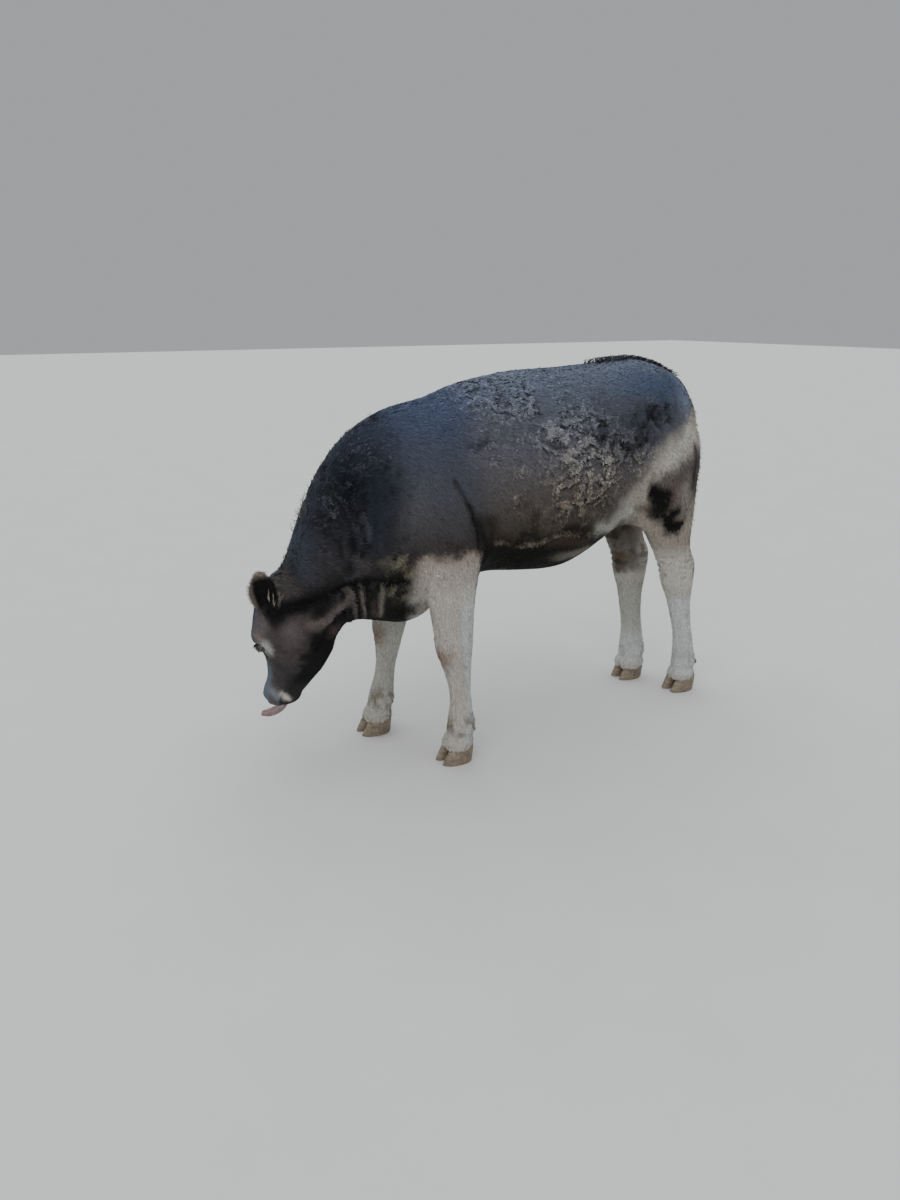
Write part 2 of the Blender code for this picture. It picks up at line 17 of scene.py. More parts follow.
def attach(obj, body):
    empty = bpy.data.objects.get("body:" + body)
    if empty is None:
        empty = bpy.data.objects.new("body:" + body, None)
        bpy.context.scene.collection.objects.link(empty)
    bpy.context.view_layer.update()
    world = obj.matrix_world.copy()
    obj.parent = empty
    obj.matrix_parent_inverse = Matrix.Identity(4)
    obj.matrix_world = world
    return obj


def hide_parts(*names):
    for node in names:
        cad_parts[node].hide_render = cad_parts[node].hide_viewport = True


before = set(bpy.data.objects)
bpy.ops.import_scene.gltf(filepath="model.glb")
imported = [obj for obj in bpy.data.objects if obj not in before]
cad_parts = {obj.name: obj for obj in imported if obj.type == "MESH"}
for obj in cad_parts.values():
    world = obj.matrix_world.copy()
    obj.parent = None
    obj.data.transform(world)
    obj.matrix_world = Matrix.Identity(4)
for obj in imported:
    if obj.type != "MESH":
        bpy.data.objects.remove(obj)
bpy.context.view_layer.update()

# ---------------------------------------------------------------- driving sizes, in metres
HEAD_SIZE = 1.11
POLL = np.array((-0.548, 0.060, 0.605))
EYE_RADIUS = 0.0185
EAR_LENGTH = 0.166
FORE_STANCE = 0.150
HIND_STANCE = 0.092
GAP = 0.0004
RING = 32
VOXEL = 0.0042
MOVE = np.array((-0.2118, 0.0, 0.0))  # from the frame of the sections to the model's frame
SKIN_TRIANGLES = 185000
SHARE = 1.0  # share of the tufts that is made


# ---------------------------------------------------------------- tools
def through(keys, count):
    keys = np.asarray(keys, float)
    padded = np.concatenate([[2 * keys[0] - keys[1]], keys, [2 * keys[-1] - keys[-2]]])
    out = []
    for i in range(1, len(padded) - 2):
        a, b, c, d = padded[i - 1 : i + 3]
        for step in range(count):
            t = step / count
            out.append(
                0.5
                * (
                    2 * b
                    + (c - a) * t
                    + (2 * a - 5 * b + 4 * c - d) * t**2
                    + (3 * b - a - 3 * c + d) * t**3
                )
            )
    out.append(keys[-1])
    return np.array(out)


def unit(v):
    v = np.asarray(v, float)
    return v / (np.linalg.norm(v, axis=-1, keepdims=True) + 1e-12)


def ease(a, b, x):
    t = np.clip((np.asarray(x, float) - a) / (b - a), 0, 1)
    return t * t * (3 - 2 * t)


def mixed(a, b, t):
    t = np.asarray(t, float)
    if np.ndim(a) and np.ndim(t) and np.shape(t) != np.shape(a):
        t = t[..., None]
    return a + (b - a) * t


def lattice(ix, iy, iz, seed):
    h = (ix * 374761393 + iy * 668265263 + iz * 1442695041 + seed * 1274126177) & 0xFFFFFFFF
    h = ((h ^ (h >> 13)) * 1274126177) & 0xFFFFFFFF
    h = ((h ^ (h >> 15)) * 2246822519) & 0xFFFFFFFF
    return (h ^ (h >> 16)) / 4294967295.0


def noise(p, size, seed=0):
    """Smooth noise from -1 to 1, its features about `size` across."""
    q = np.asarray(p, float) / size
    i = np.floor(q).astype(np.int64)
    f = q - i
    f = f * f * f * (f * (f * 6 - 15) + 10)
    out = 0
    for dx in (0, 1):
        for dy in (0, 1):
            for dz in (0, 1):
                w = (
                    (f[:, 0] if dx else 1 - f[:, 0])
                    * (f[:, 1] if dy else 1 - f[:, 1])
                    * (f[:, 2] if dz else 1 - f[:, 2])
                )
                out = out + w * lattice(i[:, 0] + dx, i[:, 1] + dy, i[:, 2] + dz, seed)
    return out * 2 - 1


def rough(p, size, seed=0, layers=3):
    total, weight, part = 0, 0, 1.0
    for k in range(layers):
        total = total + part * noise(p, size / 2**k, seed + 17 * k)
        weight += part
        part *= 0.55
    return total / weight * 1.5


def blob(p, centre, radii, power=2.0):
    """1 at a centre, falling smoothly to 0 beyond the radii."""
    d = np.sqrt((((p - np.asarray(centre)) / np.asarray(radii)) ** 2).sum(axis=1))
    return np.exp(-(d**power))


def near_line(p, points, width):
    """exp(-(distance/width)^2) from a line through a few points."""
    points = through(np.asarray(points, float), 4)
    close = ((p > points.min(axis=0) - 2.8 * width) & (p < points.max(axis=0) + 2.8 * width)).all(axis=1)
    best = np.full(close.sum(), 1e9)
    q = p[close]
    for a, b in zip(points, points[1:]):
        ab = b - a
        t = np.clip(((q - a) @ ab) / max(ab @ ab, 1e-12), 0, 1)
        best = np.minimum(best, ((q - a - t[:, None] * ab) ** 2).sum(axis=1))
    out = np.zeros(len(p))
    out[close] = np.exp(-best / width**2)
    return out


def mirrored(p, side):
    """Points of one side seen as if on the other: side -1 is her left, as in the tables."""
    q = p.copy()
    q[:, 1] *= -side
    return q


# ---------------------------------------------------------------- shapes, the same sections as the solids
def oval(centre, side, up, half, above, below, top=2.0, bottom=2.0, count=RING):
    ring = []
    for i in range(count):
        angle = 2 * math.pi * i / count
        c, s = math.cos(angle), math.sin(angle)
        power = 2 / (top if s >= 0 else bottom)
        x = half * math.copysign(abs(c) ** power, c)
        y = (above if s >= 0 else below) * math.copysign(abs(s) ** power, s)
        ring.append(np.asarray(centre) + x * np.asarray(side) + y * np.asarray(up))
    return np.array(ring)


def dome(ring, along, height):
    middle = ring.mean(axis=0)
    return [
        middle + (ring - middle) * math.cos(a) + np.asarray(along) * height * math.sin(a)
        for a in (0.3, 0.6, 0.9, 1.2, 1.42)
    ]


def placed(name, mesh):
    thing = bpy.data.objects.new(name, mesh)
    bpy.context.scene.collection.objects.link(thing)
    return thing


def tube(name, rings, first=None, last=None, steps=4):
    rings = list(through(np.array(rings), steps))
    if first:
        out = unit(rings[0].mean(axis=0) - rings[1].mean(axis=0))
        rings = dome(rings[0], out, first)[::-1] + rings
    if last:
        out = unit(rings[-1].mean(axis=0) - rings[-2].mean(axis=0))
        rings = rings + dome(rings[-1], out, last)
    count = len(rings[0])
    work = bmesh.new()
    rows = [[work.verts.new(p) for p in ring] for ring in rings]
    for a, b in zip(rows, rows[1:]):
        for i in range(count):
            j = (i + 1) % count
            work.faces.new((a[i], a[j], b[j], b[i]))
    for row in (rows[0], rows[-1]):
        tip = work.verts.new(sum((v.co for v in row), Vector()) / count)
        for i in range(count):
            work.faces.new((row[i], row[(i + 1) % count], tip))
    bmesh.ops.recalc_face_normals(work, faces=work.faces)
    mesh = bpy.data.meshes.new(name)
    work.to_mesh(mesh)
    work.free()
    return placed(name, mesh)


def ball(name, centre, radii, turn=(0, 0, 0), fine=(28, 18)):
    mesh = bpy.data.meshes.new(name)
    work = bmesh.new()
    bmesh.ops.create_uvsphere(work, u_segments=fine[0], v_segments=fine[1], radius=1)
    work.to_mesh(mesh)
    work.free()
    size = Matrix.Diagonal((*radii, 1))
    mesh.transform(
        Matrix.Translation(centre) @ Euler([math.radians(a) for a in turn]).to_matrix().to_4x4() @ size
    )
    return placed(name, mesh)


def baked(thing):
    graph = bpy.context.evaluated_depsgraph_get()
    mesh = bpy.data.meshes.new_from_object(thing.evaluated_get(graph))
    thing.modifiers.clear()
    old, thing.data = thing.data, mesh
    bpy.data.meshes.remove(old)
    return thing


def points_of(mesh):
    co = np.empty(len(mesh.vertices) * 3, np.float32)
    mesh.vertices.foreach_get("co", co)
    return co.reshape(-1, 3).astype(float)


def set_points(mesh, co):
    mesh.vertices.foreach_set("co", np.asarray(co, np.float32).ravel())
    mesh.update()


def normals_of(mesh):
    out = np.empty(len(mesh.vertices) * 3, np.float32)
    mesh.vertex_normals.foreach_get("vector", out)
    return out.reshape(-1, 3).astype(float)


def join(name, things):
    work = bmesh.new()
    for thing in things:
        work.from_mesh(thing.data)
        bpy.data.objects.remove(thing, do_unlink=True)
    mesh = bpy.data.meshes.new(name)
    work.to_mesh(mesh)
    work.free()
    return placed(name, mesh)


def softened(whole, share, times, factor=0.5):
    """Smooths the mesh, each point by its share."""
    mesh = whole.data
    edges = np.empty(len(mesh.edges) * 2, np.int64)
    mesh.edges.foreach_get("vertices", edges)
    a, b = edges[0::2], edges[1::2]
    co = points_of(mesh)
    n = len(co)
    degree = np.bincount(a, minlength=n) + np.bincount(b, minlength=n)
    by = (np.clip(share, 0, 1) * factor)[:, None]
    for _ in range(times):
        mean = np.empty_like(co)
        for k in range(3):
            mean[:, k] = np.bincount(a, co[b, k], n) + np.bincount(b, co[a, k], n)
        co += by * (mean / degree[:, None] - co)
    set_points(mesh, co)


ACROSS, UP = np.array([0.0, 1, 0]), np.array([0.0, 0, 1])
# name: x, height of the back, height of the belly, half width, height of the widest line, squareness
TRUNK = {
    "pin bones": (0.975, 1.060, 0.830, 0.075, 0.960, 2.2, 2.0),
    "tail head": (0.915, 1.134, 0.770, 0.135, 0.950, 2.3, 2.0),
    "rump": (0.835, 1.180, 0.730, 0.178, 0.955, 2.5, 2.1),
    "hooks": (0.715, 1.202, 0.680, 0.203, 0.950, 2.7, 2.1),
    "loin": (0.580, 1.192, 0.600, 0.220, 0.895, 2.6, 2.1),
    "paunch": (0.420, 1.182, 0.538, 0.236, 0.835, 2.4, 2.1),
    "ribs": (0.270, 1.178, 0.543, 0.234, 0.835, 2.3, 2.1),
    "girth": (0.130, 1.158, 0.556, 0.211, 0.838, 2.1, 2.0),
    "shoulders": (0.000, 1.130, 0.530, 0.187, 0.830, 1.9, 2.0),
    "chest": (-0.110, 1.085, 0.480, 0.162, 0.790, 1.9, 2.0),
    "breast": (-0.185, 0.990, 0.495, 0.120, 0.740, 2.0, 2.0),
}
# name: crest, throat, half width, squareness of the crest
NECK = {
    "in the chest": ((0.060, 0, 1.120), (0.050, 0, 0.540), 0.165, 1.9),
    "withers": ((-0.090, 0, 1.108), (-0.050, 0, 0.475), 0.160, 1.8),
    "neck base": ((-0.200, 0.002, 1.085), (-0.150, 0, 0.440), 0.146, 1.8),
    "lower crest": ((-0.300, 0.006, 1.028), (-0.215, 0, 0.450), 0.130, 1.8),
    "mid neck": ((-0.372, 0.014, 0.950), (-0.262, -0.002, 0.462), 0.117, 1.8),
    "upper neck": ((-0.424, 0.026, 0.850), (-0.300, -0.008, 0.470), 0.107, 1.8),
    "nape": ((-0.466, 0.045, 0.745), (-0.335, -0.022, 0.465), 0.090, 1.8),
    "behind the ears": ((-0.492, 0.057, 0.668), (-0.362, -0.040, 0.448), 0.073, 1.9),
    "in the head": ((-0.516, 0.066, 0.606), (-0.385, -0.052, 0.430), 0.060, 2.0),
}
ALONG = unit((0.055, 0.343, -0.938))
OUT = unit(np.array([-0.647, 0.728, 0.229]) - ALONG * np.dot((-0.647, 0.728, 0.229), ALONG))
DOWN, LEFT = -OUT, np.cross(OUT, ALONG)
# name: distance along, forehead line, (half width, depth) at brow, side and jaw, jaw line
HEAD = {
    "nape": (-0.030, 0.026, (0.042, 0.034), (0.060, 0.075), (0.048, 0.120), 0.150),
    "poll": (0.000, 0.005, (0.044, 0.006), (0.067, 0.050), (0.056, 0.130), 0.182),
    "forehead": (0.045, -0.005, (0.054, 0.002), (0.076, 0.046), (0.064, 0.140), 0.205),
    "brow": (0.095, -0.008, (0.064, 0.002), (0.085, 0.040), (0.069, 0.144), 0.212),
    "eyes": (0.135, -0.005, (0.065, 0.006), (0.086, 0.044), (0.068, 0.138), 0.210),
    "cheek": (0.175, 0.004, (0.048, 0.017), (0.070, 0.058), (0.060, 0.124), 0.198),
    "nose root": (0.215, 0.014, (0.036, 0.026), (0.055, 0.062), (0.049, 0.114), 0.184),
    "nose": (0.255, 0.021, (0.032, 0.030), (0.048, 0.062), (0.043, 0.104), 0.164),
    "bridge": (0.295, 0.025, (0.034, 0.030), (0.049, 0.058), (0.044, 0.095), 0.143),
    "nostrils": (0.327, 0.019, (0.041, 0.025), (0.057, 0.052), (0.047, 0.087), 0.125),
    "lips": (0.353, 0.020, (0.043, 0.028), (0.058, 0.053), (0.047, 0.084), 0.115),
    "muzzle": (0.368, 0.030, (0.037, 0.037), (0.048, 0.057), (0.039, 0.081), 0.105),
}
FORE_LEG = [
    (1.010, 0.060, 0.085, 0.070, 0.040),
    (0.920, 0.035, 0.110, 0.120, 0.058),
    (0.830, -0.010, 0.124, 0.148, 0.066),
    (0.740, -0.035, 0.130, 0.148, 0.066),
    (0.660, -0.028, 0.134, 0.122, 0.062),
    (0.595, -0.036, 0.137, 0.098, 0.058),
    (0.530, -0.038, 0.140, 0.080, 0.055),
    (0.465, -0.036, 0.143, 0.070, 0.053),
    (0.400, -0.034, 0.146, 0.063, 0.052),
    (0.350, -0.031, 0.148, 0.056, 0.050),
    (0.300, -0.024, 0.149, 0.045, 0.041),
    (0.240, -0.016, 0.150, 0.036, 0.034),
    (0.190, -0.012, 0.150, 0.036, 0.034),
    (0.135, -0.010, 0.150, 0.045, 0.041),
    (0.100, -0.014, 0.150, 0.044, 0.043),
    (0.070, -0.022, 0.150, 0.047, 0.049),
    (0.045, -0.026, 0.150, 0.050, 0.053),
]
HIND_LEG = [
    (1.050, 0.830, 0.085, 0.110, 0.110, 0.055),
    (0.960, 0.820, 0.105, 0.140, 0.124, 0.078),
    (0.860, 0.815, 0.118, 0.148, 0.128, 0.088),
    (0.760, 0.815, 0.124, 0.142, 0.128, 0.086),
    (0.670, 0.828, 0.124, 0.120, 0.116, 0.076),
    (0.590, 0.862, 0.118, 0.092, 0.084, 0.064),
    (0.535, 0.888, 0.112, 0.080, 0.078, 0.055),
    (0.487, 0.908, 0.108, 0.070, 0.084, 0.051),
    (0.425, 0.922, 0.105, 0.062, 0.070, 0.050),
    (0.360, 0.940, 0.103, 0.046, 0.050, 0.043),
    (0.300, 0.955, 0.102, 0.040, 0.041, 0.037),
    (0.235, 0.972, 0.101, 0.036, 0.038, 0.034),
    (0.185, 0.984, 0.100, 0.038, 0.041, 0.036),
    (0.135, 0.992, 0.100, 0.044, 0.046, 0.041),
    (0.100, 0.992, 0.100, 0.044, 0.045, 0.043),
    (0.070, 0.988, 0.100, 0.047, 0.045, 0.047),
    (0.045, 0.984, 0.100, 0.050, 0.048, 0.051),
]
FEET = {
    "fore_left": (-1, 0.000, FORE_STANCE, 0.00),
    "fore_right": (1, -0.126, FORE_STANCE + 0.015, -0.01),
    "hind_left": (-1, 0.000, HIND_STANCE + 0.005, 0.00),
    "hind_right": (1, -0.085, HIND_STANCE, 0.10),
}
MUSCLES = {
    "point of the shoulder": ((-0.100, 0.100, 0.735), (0.085, 0.062, 0.120), -20),
    "triceps": ((0.040, 0.148, 0.735), (0.090, 0.048, 0.130), 25),
    "shoulder blade": ((0.012, 0.102, 0.892), (0.135, 0.054, 0.195), 15),
    "hook bone": ((0.690, 0.150, 1.090), (0.070, 0.040, 0.055), 0),
    "pin bone": ((0.922, 0.072, 1.000), (0.055, 0.048, 0.070), 0),
    "thigh": ((0.830, 0.127, 0.840), (0.120, 0.081, 0.200), 8),
    "stifle": ((0.755, 0.146, 0.700), (0.065, 0.042, 0.085), -20),
    "flank": ((0.700, 0.135, 0.735), (0.120, 0.045, 0.085), 12),
}
# x, z, half width, half depth of the tail and of the hair round its end
TAIL = [
    (0.850, 1.134, 0.028, 0.034),
    (0.930, 1.116, 0.028, 0.033),
    (0.988, 1.074, 0.027, 0.029),
    (1.022, 1.005, 0.024, 0.025),
    (1.034, 0.925, 0.021, 0.021),
    (1.036, 0.835, 0.019, 0.019),
    (1.034, 0.745, 0.018, 0.018),
    (1.030, 0.665, 0.0165, 0.0165),
    (1.026, 0.595, 0.0150, 0.0150),
    (1.024, 0.525, 0.0130, 0.0130),
    (1.024, 0.475, 0.0110, 0.0110),
]


def in_head(along, down, left):
    return POLL + HEAD_SIZE * (along * ALONG + down * DOWN + left * LEFT)


def head_places(p):
    """Points in the head's own axes and size: along, down, left."""
    return ((p - POLL) / HEAD_SIZE) @ np.array([ALONG, DOWN, LEFT]).T


def trunk():
    rings = [
        oval((x, 0, wide), ACROSS, UP, half, back - wide, wide - belly, top, bottom)
        for x, back, belly, half, wide, top, bottom in TRUNK.values()
    ]
    return tube("trunk", rings, first=0.030, last=0.05)


def neck():
    rings = []
    for crest, throat, half, top in NECK.values():
        crest, throat = np.array(crest, float), np.array(throat, float)
        up = unit(crest - throat)
        side = unit(np.cross(up, (-up[2], 0, up[0])))
        depth = np.linalg.norm(crest - throat) / 2
        rings.append(oval((crest + throat) / 2, side, up, half, depth, depth, top, 2.0))
    return tube("neck", rings, first=0.05, last=0.03)


def head():
    rings = []
    for along, top, brow, side, jaw, bottom in HEAD.values():
        half = [(0, top), brow, side, jaw, (0, bottom)]
        loop = half + [(-w, d) for w, d in half[-2:0:-1]]
        loop = np.array(loop + loop[:3])
        curve = through(loop, 8)[8 : 8 + 8 * 8]
        rings.append(np.array([in_head(along, d, w) for w, d in curve]))
    return tube("head", rings, first=0.02, last=0.014, steps=4)


EAR_SHAPE = [
    (-0.12, 0.016, 0.000, 0.0150),
    (0.06, 0.021, 0.006, 0.0120),
    (0.22, 0.029, 0.013, 0.0085),
    (0.42, 0.038, 0.016, 0.0070),
    (0.62, 0.041, 0.014, 0.0062),
    (0.80, 0.035, 0.009, 0.0056),
    (0.93, 0.022, 0.004, 0.0052),
    (1.00, 0.008, 0.001, 0.0042),
]


def ear_frame(side):
    """Base, way to the tip, way the hollow faces, and the way across."""
    base = in_head(0.042, 0.058, side * 0.070)
    spread = 0.15 if side > 0 else 0.95
    tip_way = unit(-0.940 * ALONG - 0.12 * DOWN + side * spread * LEFT)
    face = side * 0.777 * LEFT + 0.627 * DOWN
    face = unit(face - tip_way * np.dot(face, tip_way))
    return base, tip_way, face, np.cross(tip_way, face)


def ear(name, side):
    base, tip_way, face, across = ear_frame(side)
    rings = []
    for share, half, cup, thick in EAR_SHAPE:
        middle = base + tip_way * share * EAR_LENGTH
        ring = []
        for i in range(28):
            angle = 2 * math.pi * i / 28
            c, s = math.cos(angle), math.sin(angle)
            across_by = (half - 0.002) * math.copysign(abs(c) ** 0.9, c)
            bend = cup * ((across_by / half) ** 2 - 0.45) * 1.5
            ring.append(middle + across * across_by + face * (bend + thick * s))
        rings.append(np.array(ring))
    return tube(name, rings, last=0.003, steps=3)


def fore_leg(side, step, out, stout):
    rings = []
    for z, x, y, length, width in FORE_LEG:
        reach = 0.45 * ease(0.85, 0.35, z) + 0.55 * ease(0.45, 0.05, z)
        low = ease(0.9, 0.2, z)
        place = (x + step * reach, side * (y + (out - 0.150) * low), z)
        length, width = length * (1 + stout * low), width * (1 + stout * low)
        rings.append(oval(place, (0, 1, 0), (1, 0, 0), width, length, length))
    return tube("fore leg", rings, first=0.03, last=0.004, steps=3)


def hind_leg(side, step, out, stout):
    rings = []
    for z, x, y, before, behind, width in HIND_LEG:
        reach = ease(0.75, 0.10, z)
        low = ease(0.8, 0.2, z)
        place = (x + step * reach, side * (y + (out - 0.100) * low), z)
        before, behind, width = (a * (1 + stout * low) for a in (before, behind, width))
        rings.append(oval(place, (0, 1, 0), (1, 0, 0), width, behind, before))
    return tube("hind leg", rings, first=0.03, last=0.004, steps=3)


def tail():
    places = np.array([(x, 0.0, z) for x, z, _, _ in TAIL])
    rings = []
    for i, (x, z, wide, deep) in enumerate(TAIL):
        way = unit(places[min(i + 1, len(places) - 1)] - places[max(i - 1, 0)])
        rings.append(oval((x, 0, z), ACROSS, np.cross(way, ACROSS), wide, deep, deep, count=20))
    return tube("tail", rings, first=0.02, last=0.01, steps=4)


def foot_place(name):
    side, step, out, stout = FEET[name]
    return (-0.030 if name.startswith("fore") else 0.982) + step, side * out


def leg_middle(foot, z):
    """The middle of a leg at given heights."""
    side, step, out, stout = FEET[foot]
    table = np.array([row[:3] for row in (FORE_LEG if foot.startswith("fore") else HIND_LEG)])[::-1]
    x, y = np.interp(z, table[:, 0], table[:, 1]), np.interp(z, table[:, 0], table[:, 2])
    if foot.startswith("fore"):
        reach = 0.45 * ease(0.85, 0.35, z) + 0.55 * ease(0.45, 0.05, z)
        low = ease(0.9, 0.2, z)
        return x + step * reach, side * (y + (out - 0.150) * low)
    reach, low = ease(0.75, 0.10, z), ease(0.8, 0.2, z)
    return x + step * reach, side * (y + (out - 0.100) * low)


TEATS = [(0.770, 0.034, 0.690), (0.818, 0.028, 0.694)]


def body_pieces():
    pieces = [trunk(), neck(), head(), tail()]
    for side in (-1, 1):
        for name, ((x, y, z), radii, turn) in MUSCLES.items():
            pieces.append(ball(name, (x, side * y, z), radii, (0, turn, 0)))
    pieces.append(ball("brisket", (-0.130, 0, 0.510), (0.110, 0.085, 0.072), (0, -8, 0)))
    pieces.append(ball("udder", (0.790, 0, 0.722), (0.075, 0.060, 0.036), (0, -6, 0)))
    for side, step, out, stout in FEET.values():
        pass
    for name, (side, step, out, stout) in FEET.items():
        leg = fore_leg if name.startswith("fore") else hind_leg
        pieces.append(leg(side, step, out, stout))
    for side, name in ((1, "left"), (-1, "right")):
        pieces.append(ear(f"ear {name}", side))
    return pieces


# ---------------------------------------------------------------- where things are on the body
def ear_share(p):
    """0 off the ears, 1 on them. Also the place along the ear, across it and through it."""
    share, along, across_by, depth = np.zeros(len(p)), np.zeros(len(p)), np.zeros(len(p)), np.zeros(len(p))
    for side in (1, -1):
        base, tip_way, face, across = ear_frame(side)
        q = p - base
        a = (q @ tip_way) / EAR_LENGTH
        c, d = q @ across, q @ face
        half = np.interp(a, [r[0] for r in EAR_SHAPE], [r[1] for r in EAR_SHAPE])
        cup = np.interp(a, [r[0] for r in EAR_SHAPE], [r[2] for r in EAR_SHAPE])
        thick = np.interp(a, [r[0] for r in EAR_SHAPE], [r[3] for r in EAR_SHAPE])
        d = d - cup * (np.clip((c / half) ** 2, 0, 1.3) - 0.45) * 1.5
        inside = ease(0.16, 0.30, a) * (np.abs(c) < half + 0.0050) * (np.abs(d) < thick + 0.0045) * (a < 1.08)
        hit = inside > share
        share = np.where(hit, inside, share)
        along, across_by, depth = (np.where(hit, n, o) for n, o in ((a, along), (c / half, across_by), (d, depth)))
    return share, along, across_by, depth


def tail_share(p):
    """1 on the free part of the tail."""
    x = np.interp(p[:, 2], [z for _, z, _, _ in TAIL[::-1]], [x for x, _, _, _ in TAIL[::-1]])
    close = ease(0.050, 0.034, np.hypot(p[:, 0] - x, p[:, 1]))
    return close * ease(1.075, 1.03, p[:, 2]) * (p[:, 0] > 0.95)


def head_share(p):
    """1 on the head, 0 behind the ears and throat."""
    h = head_places(p)
    plane = (p - np.array((-0.430, 0.010, 0.547))) @ unit((0.74, -0.25, 0.63))
    return ease(0.035, -0.035, plane) * ease(0.75, 0.70, p[:, 2]) * (h[:, 0] > -0.08) * (p[:, 0] < -0.285)


def coat_depth(p):
    """How far the skin lies inside the tips of the coat."""
    low = ease(0.62, 0.50, p[:, 2]) * (p[:, 0] > -0.33)
    h = head_places(p)
    depth = 0.0050 + 0 * p[:, 0]
    depth = mixed(depth, 0.0024 + 0 * depth, low)
    depth = mixed(depth, 0.0028 + 0 * depth, head_share(p))
    depth = mixed(depth, 0.0012 + 0 * depth, head_share(p) * ease(0.27, 0.33, h[:, 0]))
    depth = mixed(depth, 0.0012 + 0 * depth, ear_share(p)[0])
    return mixed(depth, 0.0035 + 0 * depth, tail_share(p))


# ---------------------------------------------------------------- the skin
def build_skin():
    whole = join("skin", body_pieces())
    remesh = whole.modifiers.new("one skin", "REMESH")
    remesh.mode = "VOXEL"
    remesh.voxel_size = VOXEL
    remesh.adaptivity = 0
    baked(whole)
    mesh = whole.data
    scale = (0.008 / VOXEL) ** 2
    co = points_of(mesh)
    ears = ear_share(co)[0]
    tails = tail_share(co)
    heads = head_share(co)
    base = (1 - 0.97 * ears) * (1 - 0.8 * tails) * (1 - 0.45 * heads)
    softened(whole, base * (1 - 0.4 * blob(co, (0.795, 0, 0.69), (0.07, 0.06, 0.03), 4)), int(12 * scale))
    softened(whole, base * ease(0.55, 0.68, co[:, 2]) * (1 - heads), int(40 * scale))
    co = points_of(mesh)
    softened(whole, ears * 0.5, 2)
    return whole


def eye_places():
    """For each eye: its middle, the way out of the socket, the way to the back corner, and up."""
    out = {}
    for side, name in ((1, "left"), (-1, "right")):
        middle = in_head(0.145, 0.036, side * 0.0710)
        way = unit(side * LEFT * 0.93 + OUT * 0.33 + ALONG * 0.10)
        back = unit(-ALONG * 0.90 + DOWN * 0.25)
        back = unit(back - way * (back @ way))
        top = np.cross(way, back) * side
        if top @ OUT < 0:
            top = -top
        out[name] = (middle, way, back, top)
    return out


EYES = eye_places()
LID_BACK, LID_UP, LID_DOWN = 0.0168, 0.0100, 0.0088  # half the opening, in metres along the eye


